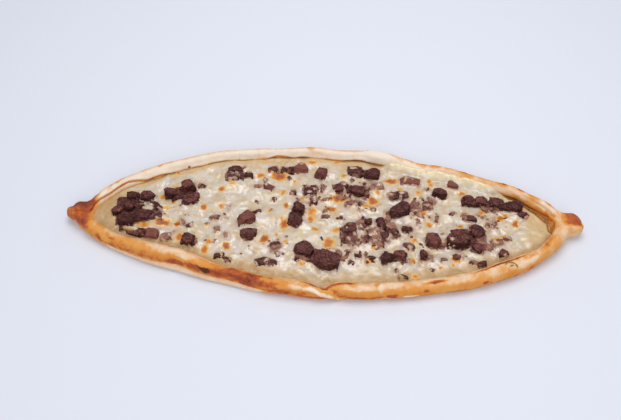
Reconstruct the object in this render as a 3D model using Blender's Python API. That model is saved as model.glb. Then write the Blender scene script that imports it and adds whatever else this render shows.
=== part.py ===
"""Turkish pide: a boat of flatbread, its rim folded in and its ends pinched.

The boat holds one layer of melted cheese, and diced meat stands in that layer.
Units are metres, with +Z up.  X runs along the boat and +Y is its far side.
The origin lies on the flat underside, below the middle of the bounding box.
"""
import math
import random
from dataclasses import dataclass

import bmesh
import bpy
from mathutils import Matrix, Vector

MM = 0.001

# Driving dimensions of the whole boat.
LEFT_TIP = -0.2265
RIGHT_TIP = 0.2265
FLOOR = 0.0050          # thickness of the dough under the filling
CAVITY_LEFT = -0.2020   # where the hollow runs out at each pinched end
CAVITY_RIGHT = 0.2008
CAVITY_RAMP = 0.0050    # half the length of the floor's rise to a knob
BLUNTNESS = 0.6         # how square the outline's ends are
GAP = 0.0004            # air between touching solids
KEEL_Y = -0.0029        # line through both knobs, which the outline is measured from

# Resolution of the solids.
STATIONS = 68
OUTER_ANGLES = (-48, -16, 14, 40, 65)   # round the outside of the rim, up to its top
INNER_ANGLES = (65, 40, 18, 0)          # and down its inside

# The rims and the knobs.
RIM_SHARE = 0.88        # most of a side that its rim may fill, near the ends
STRETCH_LIMIT = 1.7
SLOPE_STEP = 0.002      # run over which the outline's slope is measured
WAIST = 0.48            # height of the rim's widest line, as a share of its top
KNOB_ROOT = 0.206       # where the pinched ends leave the table
KNOB_LIFT = 0.0030
KNOB_RUN = 0.016        # length over which they rise
KNOB_ROUND = 0.0125     # length over which a knob rounds off to its tip
KNOB_CREASE = 0.03      # how far the pinch dips in the middle of a knob

# The filling.
CHEESE_EDGE = 0.0088    # height of the cheese beside the rim
CHEESE_CROWN = 0.0012   # rise of the cheese towards the middle
CHEESE_ROWS = 12
CHEESE_INSET = 0.0060   # how far the cheese stops short of the hollow's ends
EDGE_GAP = 0.0006       # air between the cheese and the rim
MEAT_BASE = 0.0074      # underside of every chunk, sunk in the cheese
CORNER_CUTS = 4
CORNER_DEPTHS = (0.52, 0.62)    # distance of a cut from a unit chunk's middle
CHUNK_HALF = 0.004      # run on either side over which a chunk faces the rim
RIM_GAP = 0.0010        # clearance between a chunk and the rim
NEIGHBOUR_REACH = 0.030


@dataclass(frozen=True)
class Swell:
    """A stretch of rim that is wider, taller or further out than the rest."""

    x: float
    spread: float
    out: float = 0.0
    width: float = 0.0
    height: float = 0.0


@dataclass(frozen=True)
class Side:
    """One long side of the boat: its outline and its folded rim."""

    sign: int
    half_width: float
    left_reach: float
    left_power: float
    right_reach: float
    right_power: float
    rim_width: float
    rim_height: float
    knob_half: tuple
    swells: tuple


FAR = Side(
    sign=1, half_width=0.0835,
    left_reach=0.2110, left_power=2.45, right_reach=0.2110, right_power=1.45,
    rim_width=0.0095, rim_height=0.0160, knob_half=(0.0120, 0.0115),
    swells=(
        Swell(x=0.052, spread=0.017, out=0.0030, width=0.0035, height=0.0030),
        Swell(x=0.012, spread=0.014, out=-0.0022),
        Swell(x=0.087, spread=0.012, out=-0.0032, height=-0.0010),
        Swell(x=0.172, spread=0.016, out=0.0035, width=0.0020),
        Swell(x=-0.150, spread=0.034, width=0.0030),
        Swell(x=0.196, spread=0.016, height=0.0020),
    ),
)
NEAR = Side(
    sign=-1, half_width=0.0780,
    left_reach=0.2185, left_power=1.42, right_reach=0.2145, right_power=2.4,
    rim_width=0.0122, rim_height=0.0125, knob_half=(0.0055, 0.0095),
    swells=(
        Swell(x=-0.124, spread=0.032, width=0.0058, height=0.0040),
        Swell(x=-0.001, spread=0.010, width=-0.0038, height=-0.0022),
        Swell(x=0.150, spread=0.026, width=0.0010, height=0.0015),
        Swell(x=0.182, spread=0.010, width=-0.0022),
        Swell(x=0.198, spread=0.020, height=0.0035),
    ),
)

# Chunks of meat in their groups, each as centre x, centre y, length, depth and
# top height in millimetres, then its turn in degrees.
LEFT_PILE = (
    (-170, 18, 12, 9, 16.0, 8), (-157, 19, 12, 9, 17.0, -10),
    (-149, 10, 14, 6, 13.5, -38), (-158, -1, 17, 11, 15.0, 4),
    (-181, 2, 11, 10, 16.0, 25), (-171, 5, 11, 10, 18.5, -12),
    (-172, -8, 16, 12, 17.0, 8), (-163, -23, 14, 5, 13.0, -6),
    (-147, -22, 14, 9, 14.5, -8), (-135, -25, 10, 8, 13.0, 10),
    (-137, 23, 11, 10, 18.0, 14), (-122, 32, 13, 13, 19.5, 22),
    (-119, 18, 18, 12, 14.0, 8), (-114, -28, 13, 11, 16.0, -12),
)
FAR_ROW = (
    (-82, 55, 15, 8, 14.0, 4), (-84, 45, 13, 9, 14.0, 24),
    (-44, 57, 17, 7, 13.0, 10), (-22, 58, 14, 10, 15.5, 12),
    (-3, 51, 12, 10, 16.5, -14), (29, 57, 16, 9, 13.5, 4),
    (44, 52, 14, 11, 16.0, -10), (-50, 34, 11, 9, 15.0, -26),
    (-13, 30, 14, 11, 15.0, 6), (16, 35, 13, 10, 16.5, 8),
    (30, 31, 14, 11, 17.0, -16), (48, 38, 13, 8, 13.0, 6),
)
MIDDLE = (
    (-67, -2, 17, 13, 16.5, 12), (-64, -20, 15, 11, 15.0, -6),
    (-22, 9, 11, 10, 16.5, -12), (-25, -4, 14, 11, 15.0, -28),
    (23, -12, 15, 12, 15.0, 10), (26, -24, 14, 10, 13.5, -14),
    (50, -7, 8, 13, 16.0, 14), (55, -18, 11, 8, 14.5, 24),
    (-47, -48, 20, 8, 13.0, 6), (-15, -35, 19, 14, 17.0, -18),
    (4, -46, 22, 18, 19.5, -10), (53, -43, 12, 10, 17.0, 24),
    (66, -39, 12, 9, 15.5, -20), (73, -29, 11, 7, 13.0, -20),
)
RIGHT_BAR = (
    (129, 23, 10, 9, 16.0, 0), (140, 21, 13, 10, 17.0, -8),
    (153, 19, 15, 10, 17.5, -10), (168, 17, 16, 11, 16.5, -14),
    (175, 8, 11, 7, 14.0, -32),
)
RIGHT_END = (
    (67, 10, 19, 15, 17.5, 14), (67, 27, 18, 9, 14.0, 8),
    (81, 17, 10, 9, 14.0, -6), (92, 15, 9, 9, 15.0, 6),
    (78, 45, 19, 8, 14.0, -4), (104, 30, 14, 11, 16.0, -24),
    (128, 3, 13, 6, 13.5, -10), (133, -13, 13, 13, 17.0, -10),
    (115, -22, 20, 16, 19.0, 4), (131, -30, 12, 9, 15.0, -24),
    (94, -23, 14, 14, 17.5, -22), (152, -35, 9, 8, 15.0, 0),
    (148, -22, 11, 7, 13.0, 14),
)
MEAT_CHUNKS = LEFT_PILE + FAR_ROW + MIDDLE + RIGHT_BAR + RIGHT_END
MEAT_SEED = 41

COLOURS = {
    "crust": ((0.78, 0.52, 0.28), 0.62),
    "cheese": ((0.86, 0.80, 0.62), 0.38),
    "meat": ((0.13, 0.05, 0.04), 0.55),
}


def smoothstep(low, high, value):
    """Ease from 0 at low to 1 at high."""
    t = min(max((value - low) / (high - low), 0.0), 1.0)
    return t * t * (3.0 - 2.0 * t)


def swelling(side, x, quality):
    """Total of one quality of the side's swells at x."""
    return sum(
        getattr(swell, quality) * math.exp(-((x - swell.x) / swell.spread) ** 2)
        for swell in side.swells
    )


def wobble(x, side, scale):
    """Small hand-made unevenness along the rim."""
    phase = 1.3 * side.sign
    slow = math.sin(x * 61.0 + phase)
    quick = math.sin(x * 143.0 + 2.4 * phase + scale)
    return 0.6 * slow + 0.4 * quick


def knob_fade(x):
    """1 along the boat, easing round to 0 at the two tips."""
    tip = LEFT_TIP if x < 0 else RIGHT_TIP
    t = 1.0 - abs(tip - x) / KNOB_ROUND
    return math.sqrt(1.0 - max(t, 0.0) ** 2.2)


def knob_lift(x):
    """Height of a knob's underside above the table."""
    return KNOB_LIFT * smoothstep(KNOB_ROOT, KNOB_ROOT + KNOB_RUN, abs(x))


def outer(side, x):
    """Distance of the outline from the X axis at x."""
    reach = side.left_reach if x < 0 else side.right_reach
    power = side.left_power if x < 0 else side.right_power
    body = (1.0 - min(abs(x) / reach, 1.0) ** power) ** BLUNTNESS
    half = side.half_width * body + swelling(side, x, "out")
    half += 0.0009 * wobble(x, side, 0.0) * body
    knob = side.knob_half[0 if x < 0 else 1]
    return math.hypot(half ** 2, knob ** 2) ** 0.5 * knob_fade(x)


def slope_stretch(side, x):
    """How much wider the rim looks across Y where the outline runs aslant."""
    rise = outer(side, x + SLOPE_STEP) - outer(side, x - SLOPE_STEP)
    return min(math.hypot(1.0, rise / (2.0 * SLOPE_STEP)), STRETCH_LIMIT)


def rim_width(side, x):
    """Width of the folded rim, measured along Y."""
    width = side.rim_width + swelling(side, x, "width")
    width += 0.0006 * wobble(x, side, 1.0)
    return min(width * slope_stretch(side, x), RIM_SHARE * outer(side, x))


def side_height(side, x):
    """Height of one side's rim, left to itself."""
    return side.rim_height + swelling(side, x, "height") + 0.0005 * wobble(x, side, 2.0)


def knob_share(x):
    """0 in the hollow, easing to 1 where the two rims close into a knob."""
    left = smoothstep(CAVITY_LEFT + CAVITY_RAMP, CAVITY_LEFT - CAVITY_RAMP, x)
    right = smoothstep(CAVITY_RIGHT - CAVITY_RAMP, CAVITY_RIGHT + CAVITY_RAMP, x)
    return max(left, right)


def rim_height(side, x):
    """Height of the folded rim above the table, the same on both sides of a knob."""
    own = side_height(side, x)
    shared = 0.5 * (side_height(FAR, x) + side_height(NEAR, x))
    return own + (shared - own) * knob_share(x)


def inner(side, x):
    """Distance of the rim's inner face from the X axis at x."""
    return outer(side, x) - rim_width(side, x)


def rim_points(side, x):
    """Section of one side from the bottom's centre line round to the floor's."""
    half = outer(side, x)
    width = rim_width(side, x)
    top = rim_height(side, x)
    waist = WAIST * top
    ridge = half - 0.5 * width
    points = [(0.0, 0.0), (0.5 * half, 0.0), (half - 0.13 * width, 0.0)]
    for angle in OUTER_ANGLES:
        turn = math.radians(angle)
        rise = waist if angle < 0 else top - waist
        across = 0.5 * width * math.cos(turn) ** 0.8
        points.append((ridge + across, waist + rise * math.sin(turn)))
    points.append((ridge, top))
    hollow = []
    for angle in INNER_ANGLES:
        turn = math.radians(angle)
        across = 0.5 * width * math.cos(turn) ** 0.8
        hollow.append((ridge - across, waist + (top - waist) * math.sin(turn)))
    hollow += [(half - width, FLOOR), (0.5 * (half - width), FLOOR), (0.0, FLOOR)]
    share = knob_share(x)
    for step, (y, z) in enumerate(hollow, start=1):
        t = step / len(hollow)
        knob_y = ridge * (1.0 - t)
        knob_z = top * (1.0 - KNOB_CREASE * t)
        points.append((y + (knob_y - y) * share, z + (knob_z - z) * share))
    lift = knob_lift(x)
    fade = knob_fade(x)
    raised = [(y, lift + z * (1.0 - lift / top)) for y, z in points]
    return [(y, waist + (z - waist) * fade) for y, z in raised]


def stations():
    """X of each section, closer together towards the two tips."""
    xs = []
    for index in range(STATIONS + 1):
        t = index / STATIONS
        eased = 0.42 * t + 0.58 * (0.5 - 0.5 * math.cos(math.pi * t))
        xs.append(LEFT_TIP + (RIGHT_TIP - LEFT_TIP) * eased)
    return xs


def lofted(sections):
    """Close a run of equal sections, each a ring of points, into one body."""
    rings = len(sections)
    count = len(sections[0])
    body = bmesh.new()
    bmesh.ops.create_grid(body, x_segments=rings - 1, y_segments=count, size=1.0)
    columns = sorted(body.verts, key=lambda vert: (round(vert.co.x, 5), vert.co.y))
    for index, vert in enumerate(columns):
        ring, place = divmod(index, count + 1)
        vert.co = sections[ring][place % count]
    bmesh.ops.remove_doubles(body, verts=body.verts, dist=1e-6)
    open_edges = [edge for edge in body.edges if edge.is_boundary]
    if open_edges:
        bmesh.ops.holes_fill(body, edges=open_edges)
    bmesh.ops.recalc_face_normals(body, faces=body.faces)
    return body


def crust_body():
    """The dough boat: flat base, rolled rims and two pinched knobs."""
    sections = []
    for x in stations():
        far = rim_points(FAR, x)
        near = rim_points(NEAR, x)
        ring = [Vector((x, y, z)) for y, z in far]
        ring += [Vector((x, -y, z)) for y, z in reversed(near[1:-1])]
        sections.append(ring)
    return lofted(sections)


def cheese_top(x, y, room):
    """Height of the cheese, where room is 1 on the centre line and 0 at the rim."""
    lumps = math.sin(x * 190.0 + 1.7 * math.sin(y * 120.0))
    lumps += math.sin(y * 230.0 + 1.1 * math.sin(x * 95.0))
    crown = CHEESE_CROWN * math.sqrt(max(room, 0.0))
    return CHEESE_EDGE + crown + 0.00035 * lumps * min(1.0, 4.0 * room)


def cheese_body():
    """The layer of melted cheese that fills the hollow up to the rims."""
    sections = []
    for x in stations():
        if not CAVITY_LEFT + CHEESE_INSET < x < CAVITY_RIGHT - CHEESE_INSET:
            continue
        high = inner(FAR, x) - EDGE_GAP
        low = EDGE_GAP - inner(NEAR, x)
        base = FLOOR + GAP
        ring = [Vector((x, low + (high - low) * step / 3.0, base)) for step in range(4)]
        for row in range(CHEESE_ROWS + 1):
            t = row / CHEESE_ROWS
            y = high + (low - high) * t
            ring.append(Vector((x, y, cheese_top(x, y, 4.0 * t * (1.0 - t)))))
        sections.append(ring)
    return lofted(sections)


def reach_along(chunk, direction):
    """Half extent of a chunk in a level direction."""
    length, depth, turn = chunk[2] * MM, chunk[3] * MM, math.radians(chunk[5])
    local = Matrix.Rotation(-turn, 3, "Z") @ direction
    return 0.5 * (length * abs(local.x) + depth * abs(local.y))


def side_planes(chunk):
    """Planes that keep a chunk off its neighbours and the two rims."""
    centre = Vector((chunk[0] * MM, chunk[1] * MM, 0.0))
    planes = []
    for other in MEAT_CHUNKS:
        offset = Vector((other[0] * MM, other[1] * MM, 0.0)) - centre
        if other is chunk or offset.length > NEIGHBOUR_REACH:
            continue
        direction = offset.normalized()
        mine = reach_along(chunk, direction)
        theirs = reach_along(other, direction)
        room = offset.length - GAP
        if mine + theirs > room:
            planes.append((centre + direction * room * mine / (mine + theirs), direction))
    for side in (FAR, NEAR):
        left = inner(side, centre.x - CHUNK_HALF)
        right = inner(side, centre.x + CHUNK_HALF)
        normal = Vector((left - right, 2.0 * CHUNK_HALF * side.sign, 0.0)).normalized()
        wall = side.sign * (min(left, right) - RIM_GAP)
        planes.append((Vector((centre.x, wall, 0.0)), normal))
    return planes


def slice_off(body, point, normal):
    """Cut away what lies beyond a plane and close the cut."""
    geometry = list(body.verts) + list(body.edges) + list(body.faces)
    cut = bmesh.ops.bisect_plane(body, geom=geometry, plane_co=point, plane_no=normal,
                                 clear_outer=True)
    rim = [item for item in cut["geom_cut"] if isinstance(item, bmesh.types.BMEdge)]
    if rim:
        bmesh.ops.edgeloop_fill(body, edges=rim)


def chunk_body(chunk, rng):
    """One rough dice of meat, with uneven sides and a few knife-cut corners."""
    x, y, length, depth, top, turn = chunk
    size = Vector((length * MM, depth * MM, top * MM - MEAT_BASE))
    body = bmesh.new()
    bmesh.ops.create_cube(body, size=1.0)
    for vert in body.verts:
        shake = Vector((rng.uniform(-1, 0.4), rng.uniform(-1, 0.4), rng.uniform(-1, 0.2)))
        vert.co = Vector(c * (1.0 + 0.16 * s) for c, s in zip(vert.co, shake))
    for _ in range(CORNER_CUTS):
        corner = Vector(rng.choice((-1.0, 1.0)) for _ in range(3))
        corner.z = abs(corner.z)
        corner += Vector(rng.uniform(-0.5, 0.5) for _ in range(3))
        slice_off(body, corner.normalized() * rng.uniform(*CORNER_DEPTHS), corner.normalized())
    bmesh.ops.scale(body, vec=size, verts=body.verts)
    bmesh.ops.rotate(body, matrix=Matrix.Rotation(math.radians(turn), 3, "Z"),
                     verts=body.verts)
    lowest = min(vert.co.z for vert in body.verts)
    place = Vector((x * MM, y * MM, MEAT_BASE - lowest))
    bmesh.ops.translate(body, vec=place, verts=body.verts)
    for point, normal in side_planes(chunk):
        slice_off(body, point, normal)
    bmesh.ops.triangulate(body, faces=body.faces)
    bmesh.ops.recalc_face_normals(body, faces=body.faces)
    return body


def material(kind):
    """A plain Principled finish for one kind of food."""
    colour, roughness = COLOURS[kind]
    finish = bpy.data.materials.new(kind)
    finish.use_nodes = True
    shader = finish.node_tree.nodes["Principled BSDF"]
    shader.inputs["Base Color"].default_value = (*colour, 1.0)
    shader.inputs["Roughness"].default_value = roughness
    shader.inputs["Metallic"].default_value = 0.0
    return finish


def placed(name, body, finish):
    """Put a finished body into the scene as a named object."""
    bmesh.ops.translate(body, vec=Vector((0.0, KEEL_Y, 0.0)), verts=body.verts)
    mesh = bpy.data.meshes.new(name)
    body.to_mesh(mesh)
    body.free()
    mesh.materials.append(finish)
    piece = bpy.data.objects.new(name, mesh)
    bpy.context.scene.collection.objects.link(piece)
    return piece


def pocket_cutter(piece, group):
    """A slightly fatter copy of a chunk that cuts its pocket in the cheese."""
    body = bmesh.new()
    body.from_mesh(piece.data)
    body.normal_update()
    moves = [vert.normal * vert.calc_shell_factor() * GAP for vert in body.verts]
    for vert, move in zip(body.verts, moves):
        vert.co += move
    mesh = bpy.data.meshes.new("pocket")
    body.to_mesh(mesh)
    body.free()
    cutter = bpy.data.objects.new("pocket_" + piece.name, mesh)
    cutter.hide_render = True
    cutter.display_type = "WIRE"
    group.objects.link(cutter)


def build():
    """Model the whole pide."""
    for leftover in list(bpy.data.objects):
        bpy.data.objects.remove(leftover)
    finishes = {kind: material(kind) for kind in COLOURS}
    crust = placed("crust", crust_body(), finishes["crust"])
    crust.data.shade_smooth()
    cheese = placed("cheese", cheese_body(), finishes["cheese"])
    pockets = bpy.data.collections.new("pockets")
    bpy.context.scene.collection.children.link(pockets)
    rng = random.Random(MEAT_SEED)
    for number, chunk in enumerate(MEAT_CHUNKS, start=1):
        piece = placed(f"meat_{number:02d}", chunk_body(chunk, rng), finishes["meat"])
        pocket_cutter(piece, pockets)
    cut = cheese.modifiers.new("pockets", "BOOLEAN")
    cut.operation = "DIFFERENCE"
    cut.operand_type = "COLLECTION"
    cut.collection = pockets
    cut.solver = "EXACT"


build()
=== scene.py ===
"""Looks of a Turkish pide: a long boat of flatbread with melted cheese and diced meat.

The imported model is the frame, and every piece here stands where that frame puts it.
Units are metres, with +Z up.  X runs along the boat and -Y is the near side.
"""

import bisect
import logging
import math
import random
from collections.abc import Callable, Sequence
from dataclasses import dataclass, field
from enum import Enum

import bmesh
import bpy
from mathutils import Matrix, Vector, noise
from mathutils.bvhtree import BVHTree
from mathutils.kdtree import KDTree


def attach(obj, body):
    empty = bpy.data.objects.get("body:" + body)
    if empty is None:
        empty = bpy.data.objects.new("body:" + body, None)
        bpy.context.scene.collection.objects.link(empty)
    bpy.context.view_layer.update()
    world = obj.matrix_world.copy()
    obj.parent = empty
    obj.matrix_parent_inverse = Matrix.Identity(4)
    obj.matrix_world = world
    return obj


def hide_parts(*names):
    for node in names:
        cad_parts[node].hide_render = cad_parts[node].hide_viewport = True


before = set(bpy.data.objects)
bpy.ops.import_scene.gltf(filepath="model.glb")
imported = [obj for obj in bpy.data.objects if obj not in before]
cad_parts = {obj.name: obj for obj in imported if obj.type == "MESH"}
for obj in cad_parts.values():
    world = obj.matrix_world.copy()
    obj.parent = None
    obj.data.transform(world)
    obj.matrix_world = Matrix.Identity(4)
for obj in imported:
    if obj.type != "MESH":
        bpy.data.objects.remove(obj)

MM = 0.001
BAKE_MAP = "OFBake"
log = logging.getLogger("pide")

Colour = tuple[float, float, float]
Ring = list[Vector]


class Food(Enum):
    """The three foods, each with its own material slot in the record."""

    CRUST = "crust"
    CHEESE = "cheese"
    MEAT = "meat"


class Bank(Enum):
    """The two long sides of the boat, by the sign of their Y."""

    FAR = 1
    NEAR = -1


# ----------------------------------------------------------------- small sums


def smoothstep(low: float, high: float, value: float) -> float:
    """Ease from 0 at low to 1 at high.

    Args:
        low: Value that gives 0.
        high: Value that gives 1.
        value: Value to ease.

    Returns:
        A share between 0 and 1.
    """
    t = min(max((value - low) / (high - low), 0.0), 1.0)
    return t * t * (3.0 - 2.0 * t)


def bell(distance: float, spread: float) -> float:
    """A smooth bump of height 1 that fades out over a few spreads."""
    return math.exp(-((distance / spread) ** 2))


def grain(point: Vector, size: float, seed: float = 0.0) -> float:
    """Smooth unevenness between about -1 and 1.

    Args:
        point: Place in metres.
        size: Length over which the value changes.
        seed: Shift that makes one pattern differ from the next.

    Returns:
        The unevenness at the point.
    """
    return noise.noise(point / size + Vector((seed, 2.7 * seed, -seed)))


def along(stops: Sequence[tuple[float, float]], place: float) -> float:
    """Value of a line through a few stops, level beyond its ends."""
    places = [stop[0] for stop in stops]
    index = bisect.bisect_right(places, place)
    if index == 0:
        return stops[0][1]
    if index == len(stops):
        return stops[-1][1]
    (left, low), (right, high) = stops[index - 1], stops[index]
    return low + (high - low) * (place - left) / (right - left)


# ------------------------------------------------------------ the boat's form


@dataclass(frozen=True)
class Swell:
    """A stretch of rim that is wider, taller or further out than the rest."""

    x: float
    spread: float
    out: float = 0.0
    width: float = 0.0
    height: float = 0.0


@dataclass(frozen=True)
class Side:
    """One long side of the boat: its outline and its folded rim."""

    bank: Bank
    half_width: float
    left_reach: float
    left_power: float
    right_reach: float
    right_power: float
    rim_width: float
    rim_height: float
    knob_half: tuple[float, float]
    swells: tuple[Swell, ...]

    def swelling(self, x: float, quality: str) -> float:
        """Total of one quality of the swells at x."""
        return sum(getattr(s, quality) * bell(x - s.x, s.spread) for s in self.swells)

    def wobble(self, x: float, scale: float) -> float:
        """Small hand-made unevenness along the rim."""
        phase = 1.3 * self.bank.value
        slow = math.sin(x * 61.0 + phase)
        quick = math.sin(x * 143.0 + 2.4 * phase + scale)
        return 0.6 * slow + 0.4 * quick


FAR = Side(
    bank=Bank.FAR, half_width=0.0835,
    left_reach=0.2110, left_power=2.45, right_reach=0.2110, right_power=1.45,
    rim_width=0.0095, rim_height=0.0160, knob_half=(0.0120, 0.0115),
    swells=(
        Swell(x=0.052, spread=0.017, out=0.0030, width=0.0035, height=0.0030),
        Swell(x=0.012, spread=0.014, out=-0.0022),
        Swell(x=0.087, spread=0.012, out=-0.0032, height=-0.0010),
        Swell(x=0.172, spread=0.016, out=0.0035, width=0.0020),
        Swell(x=-0.150, spread=0.034, width=0.0030),
        Swell(x=0.196, spread=0.016, height=0.0020),
    ),
)
NEAR = Side(
    bank=Bank.NEAR, half_width=0.0780,
    left_reach=0.2185, left_power=1.42, right_reach=0.2145, right_power=2.4,
    rim_width=0.0122, rim_height=0.0125, knob_half=(0.0055, 0.0095),
    swells=(
        Swell(x=-0.124, spread=0.032, width=0.0058, height=0.0040),
        Swell(x=-0.001, spread=0.010, width=-0.0038, height=-0.0022),
        Swell(x=0.150, spread=0.026, width=0.0010, height=0.0015),
        Swell(x=0.182, spread=0.010, width=-0.0022),
        Swell(x=0.198, spread=0.020, height=0.0035),
    ),
)
BOTH = (FAR, NEAR)


@dataclass(frozen=True)
class Hull:
    """The whole boat's outline, measured from the line through its two knobs."""

    left_tip: float = -0.2265
    right_tip: float = 0.2265
    floor: float = 0.0050
    hollow_left: float = -0.2020
    hollow_right: float = 0.2008
    ramp: float = 0.0050
    bluntness: float = 0.6
    keel_y: float = -0.0029
    rim_share: float = 0.88
    stretch_limit: float = 1.7
    slope_step: float = 0.002
    waist: float = 0.48
    knob_root: float = 0.206
    knob_lift: float = 0.0030
    knob_run: float = 0.016
    knob_round: float = 0.0125
    stub_round: float = 0.0100

    def stations(self, count: int) -> list[float]:
        """X of each section, closer together towards the two tips."""
        xs = []
        for index in range(count + 1):
            t = index / count
            eased = 0.42 * t + 0.58 * (0.5 - 0.5 * math.cos(math.pi * t))
            xs.append(self.left_tip + (self.right_tip - self.left_tip) * eased)
        return xs

    def fade(self, x: float) -> float:
        """1 along the boat, easing round to 0 at the two tips."""
        tip = self.left_tip if x < 0 else self.right_tip
        t = 1.0 - abs(tip - x) / (self.knob_round if x < 0 else self.stub_round)
        return math.sqrt(max(1.0 - max(t, 0.0) ** (2.2 if x < 0 else 2.0), 0.0))

    def lift(self, x: float) -> float:
        """Height of a knob's underside above the table."""
        return self.knob_lift * smoothstep(self.knob_root, self.knob_root + self.knob_run, abs(x))

    def outer(self, side: Side, x: float) -> float:
        """Distance of the outline from the keel line at x."""
        reach = side.left_reach if x < 0 else side.right_reach
        power = side.left_power if x < 0 else side.right_power
        body = (1.0 - min(abs(x) / reach, 1.0) ** power) ** self.bluntness
        half = side.half_width * body + side.swelling(x, "out")
        half += 0.0009 * side.wobble(x, 0.0) * body
        knob = side.knob_half[0 if x < 0 else 1]
        return math.hypot(half ** 2, knob ** 2) ** 0.5 * self.fade(x)

    def width(self, side: Side, x: float) -> float:
        """Width of the folded rim, measured along Y."""
        rise = self.outer(side, x + self.slope_step) - self.outer(side, x - self.slope_step)
        stretch = min(math.hypot(1.0, rise / (2.0 * self.slope_step)), self.stretch_limit)
        width = side.rim_width + side.swelling(x, "width") + 0.0006 * side.wobble(x, 1.0)
        return min(width * stretch, self.rim_share * self.outer(side, x))

    def knob_share(self, x: float) -> float:
        """0 between the rims, easing to 1 where the two rims close into a knob."""
        left = smoothstep(self.hollow_left + self.ramp, self.hollow_left - self.ramp, x)
        right = smoothstep(self.hollow_right - self.ramp, self.hollow_right + self.ramp, x)
        return max(left, right)

    def own_height(self, side: Side, x: float) -> float:
        """Height of one side's rim, left to itself."""
        return side.rim_height + side.swelling(x, "height") + 0.0005 * side.wobble(x, 2.0)

    def height(self, side: Side, x: float) -> float:
        """Height of the folded rim, the same on both sides of a knob."""
        own = self.own_height(side, x)
        shared = 0.5 * (self.own_height(FAR, x) + self.own_height(NEAR, x))
        return own + (shared - own) * self.knob_share(x)

    def inner(self, side: Side, x: float) -> float:
        """Distance of the rim's inner face from the keel line at x."""
        return self.outer(side, x) - self.width(side, x)


# -------------------------------------------------------------- mesh helpers


def loft(rings: Sequence[Ring], marks: Sequence[str]
         ) -> tuple[bmesh.types.BMesh, list[list[bmesh.types.BMVert]]]:
    """Draw a tube of equal rings, left open along one seam and at both ends.

    Args:
        rings: The sections, each a ring of points in the same order.
        marks: Names of the numbers that each vertex will carry.

    Returns:
        The mesh and its vertices by ring and place. The last place of each
        ring repeats the first, so that a map can run across the seam.
    """
    count = len(rings[0])
    body = bmesh.new()
    bmesh.ops.create_grid(body, x_segments=len(rings) - 1, y_segments=count, size=1.0)
    for mark in marks:
        body.verts.layers.float.new(mark)
    body.loops.layers.uv.new(BAKE_MAP)
    ordered = sorted(body.verts, key=lambda vert: (round(vert.co.x, 5), vert.co.y))
    table = [ordered[i * (count + 1):(i + 1) * (count + 1)] for i in range(len(rings))]
    for ring, row in zip(rings, table):
        for place, vert in enumerate(row):
            vert.co = ring[place % count]
    return body, table


def map_tube(body: bmesh.types.BMesh, table: Sequence[Sequence[bmesh.types.BMVert]],
             spread: Callable[[int], float]) -> None:
    """Give a lofted tube its bake map: along the boat, then round the section.

    Args:
        body: The lofted mesh.
        table: Its vertices by ring and place.
        spread: Gives each place round the section its share of the map's height.
    """
    layer = body.loops.layers.uv[BAKE_MAP]
    spots = {}
    for ring, row in enumerate(table):
        for place, vert in enumerate(row):
            spots[vert] = (0.002 + 0.996 * ring / (len(table) - 1), spread(place))
    for face in body.faces:
        for loop in face.loops:
            loop[layer].uv = spots[loop.vert]


def close_tube(body: bmesh.types.BMesh) -> None:
    """Join a tube's seam, fill its ends and point its faces outwards."""
    bmesh.ops.remove_doubles(body, verts=body.verts, dist=1e-6)
    open_edges = [edge for edge in body.edges if edge.is_boundary]
    if open_edges:
        bmesh.ops.holes_fill(body, edges=open_edges)
    bmesh.ops.recalc_face_normals(body, faces=body.faces)


def piece(name: str, body: bmesh.types.BMesh, finish: bpy.types.Material,
          smooth: bool = True) -> bpy.types.Object:
    """Put a finished mesh into the scene.

    Args:
        name: Name of the piece.
        body: The mesh, which is used up.
        finish: Its material.
        smooth: True for rounded shading.

    Returns:
        The new object, riding on the boat.
    """
    mesh = bpy.data.meshes.new(name)
    body.to_mesh(mesh)
    body.free()
    mesh.materials.append(finish)
    if smooth:
        mesh.shade_smooth()
    made = bpy.data.objects.new(name, mesh)
    bpy.context.scene.collection.objects.link(made)
    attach(made, "root")
    log.info("%s: %d vertices, %d faces", name, len(mesh.vertices), len(mesh.polygons))
    return made


# ------------------------------------------------------------------ finishes


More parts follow.
